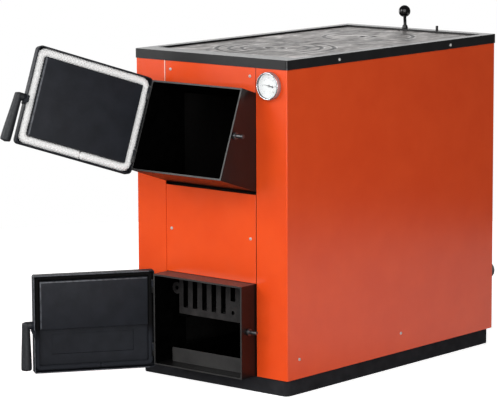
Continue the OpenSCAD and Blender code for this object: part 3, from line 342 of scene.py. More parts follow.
@cache
def ground_cast_iron():
    """Cast iron cooking plate, ground on a turning table: grey sheen, pores, streaks and ring marks.

    Soot stains the joints and lifting pockets, and a patchy painted highlight runs beside them.
    """
    material = mottled(
        "ground_cast_iron", Noise(46, 6, (1, 0.45, 1), 1.2),
        ((0.34, "#443E3B"), (0.46, "#88817E"), (0.56, "#A09996"), (0.68, "#E2DCD9")),
        Noise(16, 5, (1, 0.5, 1), 1.0), (0.34, 0.52), Noise(1.3, 4), 0.05, 0.5, metallic=0.85,
    )
    tree = material.node_tree
    shader = tree.nodes["Principled BSDF"]
    skin = shader.inputs["Base Color"].links[0].from_socket
    pores = shader.inputs["Normal"].links[0].from_node
    where = tree.nodes["Texture Coordinate"].outputs["Object"]
    parts = put(tree, "SeparateXYZ", {0: where})

    # How far each point lies from the nearer burner's middle, and from the nearest joint or pocket
    middles, joints = [], []
    aside = put(tree, "Math", {0: parts.outputs["X"]}, operation="ABSOLUTE").outputs[0]
    for burner in BURNERS:
        off = put(tree, "Math", {0: parts.outputs["Y"], 1: burner.y}, operation="SUBTRACT").outputs[0]
        flat = put(tree, "CombineXYZ", {"X": parts.outputs["X"], "Y": off}).outputs[0]
        far = put(tree, "VectorMath", {0: flat}, operation="LENGTH").outputs["Value"]
        middles.append(far)
        for radius in burner.joints:
            miss = put(tree, "Math", {0: far, 1: radius * MM}, operation="SUBTRACT").outputs[0]
            joints.append(put(tree, "Math", {0: miss}, operation="ABSOLUTE").outputs[0])
        half = burner.pocket_pitch / 2 * MM
        beside = put(tree, "Math", {0: aside, 1: half}, operation="SUBTRACT").outputs[0]
        spot = put(tree, "CombineXYZ", {"X": beside, "Y": off}).outputs[0]
        out = put(tree, "VectorMath", {0: spot}, operation="LENGTH").outputs["Value"]
        pocket = put(tree, "Math", {0: out, 1: POCKET_RADIUS * MM}, operation="SUBTRACT")
        joints.append(pocket.outputs[0])
    nearest = []
    for distances in (middles, joints):
        least = distances[0]
        for other in distances[1:]:
            least = put(tree, "Math", {0: least, 1: other}, operation="MINIMUM").outputs[0]
        nearest.append(least)
    to_middle, to_joint = nearest

    # Each step runs from one value to another over a stretch of a distance in mm, or of a noise
    patches = put(tree, "TexNoise", {"Vector": where, "Scale": 1 / (70 * MM), "Detail": 3}).outputs["Fac"]
    steps = []
    for value, unit, first, last, begin, end in (
        (to_joint, MM, 3.2, 6.0, 1.0, 0.0), (to_joint, MM, 4.2, 6.5, 0.0, 1.0),
        (to_joint, MM, 7.5, 10.0, 1.0, 0.0), (patches, 1, 0.45, 0.6, 0.0, 0.75),
    ):
        steps.append(put(tree, "MapRange", {
            "Value": value, "From Min": first * unit, "From Max": last * unit, "To Min": begin, "To Max": end
        }).outputs["Result"])
    soot, starts, stops, patchy = steps
    # This band beside the joints is a painted highlight, broken into patches
    band = put(tree, "Math", {0: starts, 1: stops}, operation="MULTIPLY").outputs[0]
    painted_ring_highlight = put(tree, "Math", {0: band, 1: patchy}, operation="MULTIPLY").outputs[0]
    for share, shade in ((painted_ring_highlight, "#F0ECEA"), (soot, "#1C1918")):
        mix = put(tree, "MixRGB", {"Fac": share, "Color1": skin, "Color2": linear(shade)})
        skin = mix.outputs["Color"]
    tree.links.new(skin, shader.inputs["Base Color"])

    turns = put(tree, "Math", {0: to_middle, 1: 2 * math.pi / (GROOVE_PITCH * MM)}, operation="MULTIPLY")
    marks = put(tree, "Math", {0: turns.outputs[0]}, operation="SINE").outputs[0]
    grooves = put(tree, "Bump", {"Height": marks, "Distance": 0.012 * MM, "Strength": 0.5})
    tree.links.new(grooves.outputs["Normal"], pores.inputs["Normal"])
    return material


@cache
def raw_cast_iron():
    """Sand-cast iron of the grates: coarse grey skin with a little rust in the hollows."""
    return mottled(
        "raw_cast_iron", Noise(18, 6), ((0.3, "#191717"), (0.55, "#242222"), (0.75, "#302D2C")),
        Noise(4, 4), (0.55, 0.75), Noise(1.4, 4), 0.16, 0.8, specular=0.3,
    )


@cache
def rolled_steel():
    """Hot-rolled steel plate of the firebox and jacket: dark mill scale with a brownish cast."""
    return mottled(
        "rolled_steel", Noise(60, 6, (1, 1, 0.4)), ((0.3, "#0B0A0A"), (0.7, "#151312")),
        Noise(12, 4), (0.65, 0.85), Noise(2.2, 4), 0.06, 0.5, specular=0.15,
    )


@cache
def zinc_plated_steel():
    """Zinc-plated steel of screws and pins: bright, faintly blue, softly brushed."""
    return mottled(
        "zinc_plated_steel", Noise(3, 3), ((0.3, "#CFCDC9"), (0.7, "#E4E3DF")),
        Noise(1, 3), (0.4, 0.55), Noise(0.3, 2, (1, 1, 8)), 0.01, 0.4, metallic=0.4,
    )


@cache
def lathe_turned_steel():
    """Turned and oiled steel of the latch and hinge pins: dark grey with fine lathe rings."""
    return mottled(
        "lathe_turned_steel", Noise(5, 4), ((0.3, "#5F5F60"), (0.7, "#6B6B6D")),
        Noise(2, 3), (0.36, 0.44), Noise(0.4, 2, (8, 1, 1)), 0.01, 0.5, metallic=0.9,
    )


@cache
def pressed_phenolic():
    """Phenolic resin pressed into the grips: black, mottled with blue-grey flecks of filler."""
    return mottled(
        "pressed_phenolic", Noise(2.6, 5, None, 1.5),
        ((0.4, "#18191C"), (0.6, "#24262B"), (0.74, "#3C4048")),
        Noise(5, 3), (0.48, 0.62), Noise(3, 2), 0.03, 0.3,
    )


@cache
def polished_phenolic():
    """Phenolic resin of the ball knob, polished: deep black with sharp highlights."""
    return mottled(
        "polished_phenolic", Noise(4, 3), ((0.3, "#08080A"), (0.7, "#101012")), Noise(6, 2), (0.08, 0.14)
    )


def glass_fibre(name, colours, depth):
    """Braided glass fibre rope: dull bundles of fine threads with loose ends."""
    return mottled(name, Noise(1.2, 5), colours, None, 0.92, Noise(0.7, 4), depth, 0.6, specular=0.1)


@cache
def white_glass_fibre():
    """New white rope of the loading door: clean threads with darker specks between them."""
    return glass_fibre("white_glass_fibre", ((0.3, "#7C7875"), (0.36, "#F4F3F1"), (0.65, "#FFFFFF")), 0.25)


@cache
def black_glass_fibre():
    """Graphited rope of the ash door: black higher up, where it also stands for painted shade round the
    shield, and grey like the door near the floor.
    """
    material = glass_fibre(
        "black_glass_fibre", ((0.3, "#050505"), (0.36, "#070707"), (0.65, "#131314")), 0.2
    )
    tree = material.node_tree
    shader = tree.nodes["Principled BSDF"]
    threads = shader.inputs["Base Color"].links[0].from_socket
    where = tree.nodes["Texture Coordinate"].outputs["Object"]
    height = put(tree, "SeparateXYZ", {0: where}).outputs["Z"]
    low, high = ROPE_SHADE_FADE
    grey_below = put(tree, "MapRange", {
        "Value": height, "From Min": low * MM, "From Max": high * MM, "To Min": 1.0, "To Max": 0.0
    }).outputs["Result"]
    greyed_rope = put(tree, "MixRGB", {"Fac": grey_below, "Color1": threads, "Color2": linear("#24262B")})
    tree.links.new(greyed_rope.outputs["Color"], shader.inputs["Base Color"])
    return material


@cache
def mineral_wool():
    """Pressed mineral wool board: matt yellow-brown fibres lying along the board."""
    return mottled(
        "mineral_wool", Noise(5, 8, (1, 0.25, 1), 2.0), ((0.3, "#8C7B4E"), (0.7, "#BBA873")),
        None, 0.95, Noise(2, 6, (1, 0.2, 1)), 0.5, 0.8,
    )


@cache
def polished_chrome():
    """Chrome-plated brass bezel: mirror bright with the faintest polishing haze."""
    return mottled(
        "polished_chrome", Noise(15, 2), ((0.3, "#D3D4D7"), (0.7, "#E0E1E3")),
        Noise(3, 3), (0.09, 0.16), metallic=1.0,
    )


@cache
def satin_case_painted_reflection():
    """Satin-finished steel side of the thermometer's case: soft grey with a faint rose cast, a painted
    reflection.
    """
    return mottled(
        "satin_case_painted_reflection", Noise(8, 3), ((0.3, "#A99CA0"), (0.7, "#BDB0B4")),
        Noise(2, 3), (0.35, 0.5), metallic=0.35,
    )


@cache
def dial_enamel():
    """White enamelled aluminium dial: matt white with a trace of unevenness."""
    return mottled(
        "dial_enamel", Noise(12, 3), ((0.3, "#F4F6F6"), (0.7, "#FBFCFC")), Noise(4, 2), (0.4, 0.5)
    )


@cache
def dial_ink():
    """Screen-printed black ink on the dial: flat and slightly grey."""
    return mottled("dial_ink", Noise(1, 3), ((0.3, "#4A4A50"), (0.7, "#5C5C62")), None, 0.6)


@cache
def needle_lacquer():
    """Blued steel needle with a matt lacquer: dark blue-grey."""
    return mottled("needle_lacquer", Noise(3, 3), ((0.3, "#171A1F"), (0.7, "#22272E")), None, 0.4)


@cache
def gauge_glass():
    """Thin mineral glass over the dial: nearly clear, so only its faint sheen is drawn."""
    return mottled(
        "gauge_glass", Noise(20, 2), ((0.3, "#F4F8FA"), (0.7, "#FBFDFE")), None, 0.05, alpha=0.12
    )


@cache
def painted_shade_black():
    """Dull, powdery near-black, painted as shade inside the mouths, pockets, seams, grates and the ash pan.
    """
    return mottled(
        "painted_shade_black", Noise(25, 5), ((0.3, "#020202"), (0.7, "#050505")),
        None, 0.95, Noise(2, 5), 0.1, 0.6, specular=0.0,
    )


FINISHES = {
    "orange_paint": orange_powder_coat,
    "black_paint": black_stove_paint,
    "grey_paint": grey_stove_paint,
    "cast_iron": ground_cast_iron,
    "grate_iron": raw_cast_iron,
    "boiler_steel": rolled_steel,
    "zinc_steel": zinc_plated_steel,
    "turned_steel": lathe_turned_steel,
    "grip_plastic": pressed_phenolic,
    "knob_plastic": polished_phenolic,
    "white_rope": white_glass_fibre,
    "black_rope": black_glass_fibre,
    "board": mineral_wool,
    "bezel": polished_chrome,
    "dial": dial_enamel,
    "needle": needle_lacquer,
    "clear_glass": gauge_glass,
}


# Pieces


def settle(bm, name, node, material=None, smooth=40.0, replace=True):
    """Turns a bmesh into a piece that rides with its node's body and stands for the node."""
    mesh = bpy.data.meshes.new(name)
    bm.to_mesh(mesh)
    bm.free()
    piece = bpy.data.objects.new(name, mesh)
    bpy.context.scene.collection.objects.link(piece)
    mesh.materials.append(material or FINISHES[SLOT_OF[node]]())
    if smooth:
        mesh.shade_smooth()
        mesh.set_sharp_from_angle(angle=math.radians(smooth))
    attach(piece, BODY_OF[node])
    if replace:
        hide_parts(node)
    return piece


def merged_copy(node):
    """A bmesh of a node's solid with its doubles merged and its flat faces joined."""
    bm = bmesh.new()
    bm.from_mesh(frame["nodes"][node].data)
    bmesh.ops.remove_doubles(bm, verts=bm.verts, dist=DOUBLES * MM)
    bmesh.ops.dissolve_limit(
        bm, angle_limit=math.radians(FLAT_ANGLE), verts=bm.verts, edges=bm.edges,
        use_dissolve_boundaries=False,
    )
    return bm


def keep_flat(piece):
    """Gives the large faces flat normals where broken edges meet them."""
    weigh = piece.modifiers.new("flat_faces", "WEIGHTED_NORMAL")
    weigh.mode = "FACE_AREA"
    weigh.weight = 50
    weigh.keep_sharp = True


def softened(node, width, segments=2, angle=35.0, material=None):
    """A node's own shape with its edges broken by a width in mm, as a brake, a file or paint leaves them."""
    piece = settle(merged_copy(node), node + "_soft", node, material, smooth=0)
    piece.data.shade_smooth()
    bevel = piece.modifiers.new("edges", "BEVEL")
    bevel.width = width * MM
    bevel.segments = segments
    bevel.limit_method = "ANGLE"
    bevel.angle_limit = math.radians(angle)
    bevel.use_clamp_overlap = True
    keep_flat(piece)
    return piece


def rounded_corners(node, width, chosen, painted_highlight, split=None):
    """A node's own shape with the chosen upright edges rounded and a lighter finish on them as a painted
    highlight.

    The width is in metres, and the sheet is parted at the height split, so a corner can be rounded above it.
    """
    bm = merged_copy(node)
    if split:
        bmesh.ops.bisect_plane(
            bm, geom=bm.verts[:] + bm.edges[:] + bm.faces[:], dist=0.001 * MM,
            plane_co=(0, 0, split), plane_no=(0, 0, 1),
        )
    edges = []
    for edge in bm.edges:
        way = edge.verts[1].co - edge.verts[0].co
        upright = abs(way.z) > 10 * MM and math.hypot(way.x, way.y) < 0.05 * MM
        if chosen(edge) and upright and edge.calc_face_angle(0) > 1:
            edges.append(edge)
    bmesh.ops.bevel(bm, geom=edges, offset=width, segments=3, profile=0.5, affect="EDGES", material=1)
    piece = settle(bm, node + "_soft", node, smooth=30.0)
    piece.data.materials.append(painted_highlight)
    bevel = piece.modifiers.new("edges", "BEVEL")
    bevel.width = 0.15 * MM
    bevel.limit_method = "ANGLE"
    bevel.angle_limit = math.radians(40)
    keep_flat(piece)
    return piece


def along(start_point, end_point):
    """A frame whose Z axis runs from one point to the other."""
    way = (end_point - start_point).normalized()
    return Matrix.Translation(start_point) @ way.to_track_quat("Z", "Y").to_matrix().to_4x4()


def facing_front(x, y, z):
    """A frame at a point whose Z axis runs to the front."""
    return Matrix.Translation((x, y, z)) @ Matrix.Rotation(math.pi / 2, 4, "X")


def turned(profile, place, steps=64, closed=False):
    """A lathe part: a profile of (radius, height) in mm, spun about Z and put in its place."""
    bm = bmesh.new()
    line = [bm.verts.new((r * MM, 0, z * MM)) for r, z in profile]
    pairs = list(zip(line, line[1:])) + ([(line[-1], line[0])] if closed else [])
    edges = [bm.edges.new(pair) for pair in pairs]
    bmesh.ops.spin(
        bm, geom=line + edges, cent=(0, 0, 0), axis=(0, 0, 1), angle=2 * math.pi, steps=steps,
        use_merge=True,
    )
    bmesh.ops.remove_doubles(bm, verts=bm.verts, dist=DOUBLES * MM)
    bmesh.ops.recalc_face_normals(bm, faces=bm.faces)
    bmesh.ops.transform(bm, matrix=place, verts=bm.verts)
    return bm


def bar(low, high, place):
    """A bar between two corners in mm."""
    bm = bmesh.new()
    size = [(b - a) * MM for a, b in zip(low, high)]
    middle = [(a + b) / 2 * MM for a, b in zip(low, high)]
    bmesh.ops.create_cube(bm, size=1, matrix=Matrix.Translation(middle) @ Matrix.Diagonal(size + [1]))
    bmesh.ops.transform(bm, matrix=place, verts=bm.verts)
    return bm


def gather(parts):
    """Joins several bmeshes into the first."""
    whole = parts[0]
    for part in parts[1:]:
        spare = bpy.data.meshes.new("spare")
        part.to_mesh(spare)
        part.free()
        whole.from_mesh(spare)
        bpy.data.meshes.remove(spare)
    return whole


def islands(node):
    """The boxes of a node's separate solids, sorted so that each run numbers them alike."""
    bm = merged_copy(node)
    left, boxes = set(bm.verts), []
    while left:
        crowd, heap = set(), [left.pop()]
        while heap:
            vert = heap.pop()
            crowd.add(vert.co.copy().freeze())
            for edge in vert.link_edges:
                other = edge.other_vert(vert)
                if other in left:
                    left.remove(other)
                    heap.append(other)
        boxes.append((Vector(map(min, zip(*crowd))), Vector(map(max, zip(*crowd)))))
    bm.free()
    return sorted(boxes, key=lambda box: tuple(box[0]))


def loop_of(bm, points):
    """A closed loop of edges through some points."""
    verts = [bm.verts.new(p) for p in points]
    return [bm.edges.new((a, b)) for a, b in zip(verts, verts[1:] + verts[:1])]


def cross_screw(place, radius):
    """A pan head with a cross recess; Z points out of the sheet, lengths in mm."""
    bm = bmesh.new()
    steps = 24
    loops = []
    for share, z in [(1.0, -0.2)] + [(share, HEAD_RISE * rise) for share, rise in HEAD_CURVE]:
        ring, reach = [], radius * share * MM
        for i in range(steps):
            angle = 2 * math.pi * i / steps
            ring.append((reach * math.cos(angle), reach * math.sin(angle), z * MM))
        loops.append(loop_of(bm, ring))
    for share, z in ((1.0, HEAD_RISE), (0.72, HEAD_RISE - RECESS_DEPTH)):
        arm, half = radius * 0.5 * share * MM, radius * 0.12 * share * MM
        corner = [(arm, -half), (arm, half), (half, half)]
        cross = []
        for quarter in range(4):
            spin = Matrix.Rotation(quarter * math.pi / 2, 2)
            cross += [tuple(spin @ Vector(p)) + (z * MM,) for p in corner]
        loops.append(loop_of(bm, cross))
    for first, second in zip(loops, loops[1:]):
        bmesh.ops.bridge_loops(bm, edges=first + second)
    bmesh.ops.contextual_create(bm, geom=loops[-1])
    bmesh.ops.contextual_create(bm, geom=loops[0])
    bmesh.ops.recalc_face_normals(bm, faces=bm.faces)
    bmesh.ops.transform(bm, matrix=place, verts=bm.verts)
    return bm


def screws(node, outward=None):
    """Cross-recessed heads and threaded shanks for all the screws of a node.

    They face outward, or without it to the side of the boiler that they sit on.
    """
    parts = []
    for index, (low, high) in enumerate(islands(node)):
        middle, size = (low + high) / 2, high - low
        out = Vector(outward) if outward else Vector((math.copysign(1, middle.x), 0, 0))
        reach = abs(size.dot(out)) / 2
        across = size - out * size.dot(out)
        head_radius = max(abs(length) for length in across) / 2 / MM
        tip = middle + out * reach
        turn = Matrix.Rotation(0.5 + index * 1.3, 4, "Z")
        place = along(tip - out * HEAD_RISE * MM, tip + out) @ turn
        parts.append(cross_screw(place, head_radius))
        depth = 2 * reach / MM - HEAD_RISE
        shank = [(0, 0.1), (SHANK_RADIUS, 0.1)]
        for i in range(int(depth / SCREW_PITCH) - 2):
            shank += [(SHANK_RADIUS, -i * SCREW_PITCH - 0.1), (SHANK_ROOT, -i * SCREW_PITCH - 0.45)]
        shank += [(1.2, -depth + 0.4), (0, -depth)]
        parts.append(turned(shank, place, 16))
    return settle(gather(parts), node + "_cut", node)


def rope_ring(name, node, place, half_w, half_h, bend, wide, deep, dent, back):
    """A braided rope laid in a closed rectangle in mm, with its two ends butted at the bottom.

    The rectangle's middle line has the half sizes half_w and half_h and corners of radius bend. The rope
    is wide and deep from its middle, its strands stand out by the share dent, and it lies at Y back.
    """
    straight_w, straight_h, corner = 2 * (half_w - bend), 2 * (half_h - bend), math.pi / 2 * bend
    total = 2 * (straight_w + straight_h) + 4 * corner
    across = 40
    count = int(total / (1.3))

    def on_path(s):
        """The point at a length s along the middle line, and the direction away from the rectangle."""
        s = s % total
        pieces = (
            (straight_w, (-half_w + bend, -half_h), 0), (corner, (half_w - bend, -half_h + bend), -90),
            (straight_h, (half_w, -half_h + bend), 90), (corner, (half_w - bend, half_h - bend), 0),
            (straight_w, (half_w - bend, half_h), 180), (corner, (-half_w + bend, half_h - bend), 90),
            (straight_h, (-half_w, half_h - bend), 270), (corner, (-half_w + bend, -half_h + bend), 180),
        )
        for index, (size, spot, angle) in enumerate(pieces):
            if s <= size:
                if index % 2:
                    at = math.radians(angle) + s / bend
                    out = (math.cos(at), math.sin(at))
                    return (spot[0] + bend * out[0], spot[1] + bend * out[1]), out
                at = math.radians(angle)
                out = (math.sin(at), -math.cos(at))
                return (spot[0] + s * math.cos(at), spot[1] + s * math.sin(at)), out
            s -= size
        return on_path(0)

    bm = bmesh.new()
    bmesh.ops.create_grid(bm, x_segments=count, y_segments=across, size=0.5)
    crossings = round(total / STRAND_PITCH)
    butt = straight_w * BUTT_SHARE
    for vert in bm.verts:
        u, v = vert.co.x + 0.5, vert.co.y + 0.5
        s, turn = u * total, 2 * math.pi * v
        (x, z), (out_x, out_z) = on_path(s)
        one_way = math.sin(math.pi * (u * crossings + STRANDS * v))
        other_way = math.sin(math.pi * (u * crossings - STRANDS * v))
        gap = math.exp(-((s - butt) / BUTT_WIDTH) ** 2)
        sway = 0.25 * math.sin(s / 13.0) + 0.2 * math.sin(s / 5.3 + 1)
        size = 1 + dent * (abs(one_way * other_way) - 0.6) - 0.45 * gap
        a, b = wide * size * math.cos(turn), deep * size * math.sin(turn)
        vert.co = (x + out_x * (a + sway), back + b, z + out_z * (a + sway))
    bmesh.ops.transform(bm, matrix=place @ Matrix.Diagonal((MM, MM, MM, 1)), verts=bm.verts)
    bmesh.ops.remove_doubles(bm, verts=bm.verts, dist=0.01 * MM)
    bmesh.ops.recalc_face_normals(bm, faces=bm.faces)
    return settle(bm, name, node, smooth=75.0)


# Thermometer


def rolled_bezel():
    """The case with its rolled bezel: satin side with a painted rose reflection, chrome lip, throat coloured
    black as a painted dark reflection, and white floor.
    """
    low, high = box_of("thermometer_case")
    middle = (low + high) / 2
    place = facing_front(middle.x, high.y - STEM_LENGTH * MM, middle.z)
    bezel = settle(turned(BEZEL_PROFILE, place, 96), "rolled_bezel", "thermometer_case", smooth=50.0)
    for skin in (satin_case_painted_reflection(), black_stove_paint(), dial_enamel()):
        bezel.data.materials.append(skin)
    into = place.inverted()
    # By radius and height: the side up to the groove and the stem, the throat inside the lip, coloured black
    # as a painted dark reflection, and the floor
    for face in bezel.data.polygons:
        spot = into @ face.center / MM
        far = math.hypot(spot.x, spot.y)
        if far > 30.9 and spot.z < 8.6 or spot.z < 0:
            face.material_index = 1
        elif far < 28.4 and 7.4 < spot.z < 12.4:
            face.material_index = 2
        elif far < 28.3 and 3 < spot.z:
            face.material_index = 3


def dial_marks():
    """The printed scale: 61 ticks from 0 to 120 and a figure at every tenth."""
    softened("thermometer_dial", 0.2, 2, 50)
    low, high = box_of("thermometer_dial")
    middle = (low + high) / 2
    face = facing_front(middle.x, low.y, middle.z)
    radius = (high.x - low.x) / 2 / MM
    below, above = -0.02, 0.04
    marks = []
    for i in range(61):
        turn = face @ Matrix.Rotation(math.radians(SCALE_START - i * SCALE_SWEEP / 60), 4, "Z")
        long = i % 10 == 0
        inner = radius * (0.83 if long else 0.88 if i % 5 == 0 else 0.9)
        half = 0.35 if long else 0.16
        marks.append(bar((inner, -half, below), (radius * 0.94, half, above), turn))
    cell, stroke, width, height = 1.7, 0.13, 1.05, 1.25
    for i in range(7):
        angle = math.radians(SCALE_START - i * SCALE_SWEEP / 6)
        text = str(i * 20)
        x0 = radius * 0.66 * math.cos(angle) - cell * len(text) / 2 + 0.35
        y0 = radius * 0.66 * math.sin(angle) - 1.3
        for place, figure in enumerate(text):
            for ax, ay, bx, by in STROKES[figure]:
                left, right = sorted((ax, bx))
                bottom, top = sorted((ay, by))
                x = x0 + place * cell
                marks.append(bar(
                    (x + left * width - stroke, y0 + bottom * height - stroke, below),
                    (x + right * width + stroke, y0 + top * height + stroke, above), face,
                ))
    settle(gather(marks), "dial_marks", "thermometer_dial", dial_ink(), smooth=0, replace=False)


def needle_blade():
    """The needle with its hub, the disc on its tail and the bar between them."""
    low, high = box_of("thermometer_needle")
    middle = centre_of("thermometer_dial")
    lean = Matrix.Translation((middle.x, high.y, middle.z)) @ Matrix.Rotation(NEEDLE_ANGLE, 4, "Y")
    lie = lean @ Matrix.Rotation(math.pi / 2, 4, "X")
    tail, thick, edge = 10, 1, 0.2
    parts = [merged_copy("thermometer_needle")]
    for at, size in ((tail, 2.6), (0, 2.9)):
        disc = [
            (0, 0), (size - edge, 0), (size, edge), (size, thick - edge), (size - edge, thick), (0, thick),
        ]
        parts.append(turned(disc, lie @ Matrix.Translation((at * MM, 0, 0)), 32))
    parts.append(bar((0, -1.1, 0.05), (tail, 1.1, thick - 0.05), lie))
    settle(gather(parts), "needle_blade", "thermometer_needle", smooth=30.0)


def domed_glass():
    """The glass, flat behind and slightly domed in front."""
    low, high = box_of("thermometer_glass")
    radius, thick, rise = (high.x - low.x) / 2 / MM - 0.1, (high.y - low.y) / MM, 0.9
    middle = (low + high) / 2
    dome = [(radius * t, thick - rise * t * t) for t in (1.0, 0.94, 0.8, 0.6, 0.4, 0.2, 0)]
    place = facing_front(middle.x, high.y, middle.z)
    glass = turned([(0, 0.3), (radius, 0.1)] + dome, place, 64)
    settle(glass, "domed_glass", "thermometer_glass", smooth=50.0)


# Stage


def set_camera(scene):
    """The camera that was solved from the body's straight edges."""
    turn, dip, roll = (math.radians(angle) for angle in (CAMERA_TURN, CAMERA_DIP, CAMERA_ROLL))
    ahead = Vector((-math.sin(turn) * math.cos(dip), math.cos(turn) * math.cos(dip), -math.sin(dip)))
    side = Vector((math.cos(turn), math.sin(turn), 0))
    up = side.cross(ahead)
    right = side * math.cos(roll) + up * math.sin(roll)
    top = up * math.cos(roll) - side * math.sin(roll)
    data = bpy.data.cameras.new("camera")
    data.sensor_width = 36.0
    data.lens = CAMERA_LENS
    data.clip_end = 60.0
    camera = bpy.data.objects.new("camera", data)
    scene.collection.objects.link(camera)
    place = Matrix((right, top, -ahead)).transposed().to_4x4()
    place.translation = Vector(CAMERA_SPOT)
    camera.matrix_world = place
    scene.camera = camera


def white_room(scene, strength):
    """A room that is white to the camera and through glass, and lights the boiler faintly."""
    world = bpy.data.worlds.new("white_room")
    scene.world = world
    world.use_nodes = True
    tree = world.node_tree
    tree.nodes.clear()
    rays = put(tree, "LightPath")
    seen = put(
        tree, "Math", {0: rays.outputs["Is Camera Ray"], 1: rays.outputs["Is Transmission Ray"]},
        operation="MAXIMUM",
    )
    room = put(tree, "Background", {"Color": (1, 1, 1, 1), "Strength": strength})
    white = put(tree, "Background", {"Color": (1, 1, 1, 1), "Strength": 1.0})
    both = put(tree, "MixShader", {0: seen.outputs[0], 1: room.outputs[0], 2: white.outputs[0]})
    put(tree, "OutputWorld", {"Surface": both.outputs[0]})


def hang_light(scene, name, spot, aim, size, power):
    """A rectangular light at one point, aimed at another."""
    lamp = bpy.data.lights.new(name, "AREA")
    lamp.shape = "RECTANGLE"
    lamp.size, lamp.size_y = size
    lamp.energy = power
    light = bpy.data.objects.new(name, lamp)
    light.location = spot
    light.rotation_euler = (Vector(aim) - Vector(spot)).to_track_quat("-Z", "Y").to_euler()
    light.visible_camera = False
    scene.collection.objects.link(light)


def white_paper():
    """Matt white paper under the boiler.

    To the camera it glows up to white and keeps the shadow. To glossy rays it is a painted reflection, which
    darkens to the front left.
    """
    material = bpy.data.materials.new("white_paper")
    material.use_nodes = True
    tree = material.node_tree
    tree.nodes.clear()
    rays = put(tree, "LightPath")
    paper = put(tree, "BsdfDiffuse", {"Color": (0.8, 0.8, 0.8, 1)})
    glow = put(tree, "Emission", {"Color": (1, 1, 1, 1), "Strength": 0.78})
    lit = put(tree, "AddShader", {0: paper.outputs[0], 1: glow.outputs[0]})
    shown = put(tree, "MixShader", {
        0: rays.outputs["Is Camera Ray"], 1: paper.outputs[0], 2: lit.outputs[0]
    })
    # Glossy rays see a painted reflection, bright to the back right and dark to the front left
    spot = put(tree, "SeparateXYZ", {0: put(tree, "TexCoord").outputs["Object"]})
    across = put(tree, "Math", {0: spot.outputs["X"], 1: spot.outputs["Y"]}, operation="ADD")
    sheen = put(tree, "MapRange", {
        "Value": across.outputs[0], "From Min": -0.4, "From Max": 0.8, "To Min": 0.05, "To Max": 0.9
    })
    mirror = put(tree, "Emission", {"Color": (1, 1, 1, 1), "Strength": sheen.outputs["Result"]})
    whole = put(tree, "MixShader", {
        0: rays.outputs["Is Glossy Ray"], 1: shown.outputs[0], 2: mirror.outputs[0]
    })
    put(tree, "OutputMaterial", {"Surface": whole.outputs[0]})
    return material


def lay_floor(scene):
    """A round of paper, which ends short of the camera."""
    bm = bmesh.new()
    bmesh.ops.create_circle(bm, cap_ends=True, segments=96, radius=FLOOR_RADIUS)
    mesh = bpy.data.meshes.new("floor")
    bm.to_mesh(mesh)
    bm.free()
    floor = bpy.data.objects.new("floor", mesh)
    scene.collection.objects.link(floor)
    mesh.materials.append(white_paper())


# Settings that a user may change


class BoilerStage(bpy.types.PropertyGroup):
    """The lights' powers in watts, and the room's strength"""

    key: FloatProperty(
        name="Key light", description="Power of the light beside the camera", default=168.0, min=0.0
    )
    left: FloatProperty(
        name="Left light", description="Power of the light on the left", default=72.0, min=0.0
    )
    back: FloatProperty(
        name="Back light", description="Power of the backdrop light", default=63.0, min=0.0
    )
    side: FloatProperty(
        name="Side light", description="Power of the wall of light on the left", default=38.0, min=0.0
    )
    corner: FloatProperty(
        name="Corner light", description="Power of the narrow strip at the right", default=14.0, min=0.0
    )
    rim: FloatProperty(
        name="Rim light", description="Power of the low strip at the left front", default=8.0, min=0.0
    )
    room: FloatProperty(
        name="Room light", description="Strength of the white room", default=0.1, min=0.0
    )


class BoilerColours(bpy.types.PropertyGroup):
    """The paints' colours"""

    coat: FloatVectorProperty(
        name="Powder coat", description="Lighter colour of the panels", subtype="COLOR",
        default=linear("#E94F1B")[:3], min=0.0, max=1.0,
    )
    coat_shade: FloatVectorProperty(
        name="Powder coat shade", description="Darker colour of the panels", subtype="COLOR",
        default=linear("#E44A17")[:3], min=0.0, max=1.0,
    )
    frame: FloatVectorProperty(
        name="Top frame", description="Lighter colour of the top frame", subtype="COLOR",
        default=linear("#1A1A1C")[:3], min=0.0, max=1.0,
    )
    frame_shade: FloatVectorProperty(
        name="Top frame shade", description="Darker colour of the top frame", subtype="COLOR",
        default=linear("#131314")[:3], min=0.0, max=1.0,
    )
    door: FloatVectorProperty(
        name="Doors", description="Lighter colour of the doors", subtype="COLOR",
        default=linear("#24262C")[:3], min=0.0, max=1.0,
    )
    door_shade: FloatVectorProperty(
        name="Doors shade", description="Darker colour of the doors", subtype="COLOR",
        default=linear("#1D1F24")[:3], min=0.0, max=1.0,
    )


class BoilerSizes(bpy.types.PropertyGroup):
    """The widths of bends, seams and folds"""

    side_bend: FloatProperty(
        # The side, frame and front bends are rounded, and coloured lighter over their width as a painted
        # highlight
        name="Side bend", description="Width rubbed round the side panels' front bends",
        default=1.4 * MM, min=0.1 * MM, unit="LENGTH",
    )
    frame_bend: FloatProperty(
        name="Frame bend", description="Width rubbed bare at the top frame's front corners",
        default=1.6 * MM, min=0.1 * MM, unit="LENGTH",
    )
    front_bend: FloatProperty(
        name="Front bend", description="Width rubbed round the front panels' side folds",
        default=1.2 * MM, min=0.1 * MM, unit="LENGTH",
    )
    closed_seam: FloatProperty(
        name="Closed seam", description="How far the front panels' left edges hang to the left",
        default=0.78 * MM, min=0.0, max=0.8 * MM, unit="LENGTH",
    )
    open_seam: FloatProperty(
        name="Open seam", description="How far the front panels' right edges hang to the left",
        default=1.7 * MM, min=0.0, unit="LENGTH",
    )
    pressed_fold: FloatProperty(
        name="Pressed fold", description="Width of the folds round the doors' inner sheets",
        default=3.3 * MM, min=0.1 * MM, unit="LENGTH",
    )


# Operators


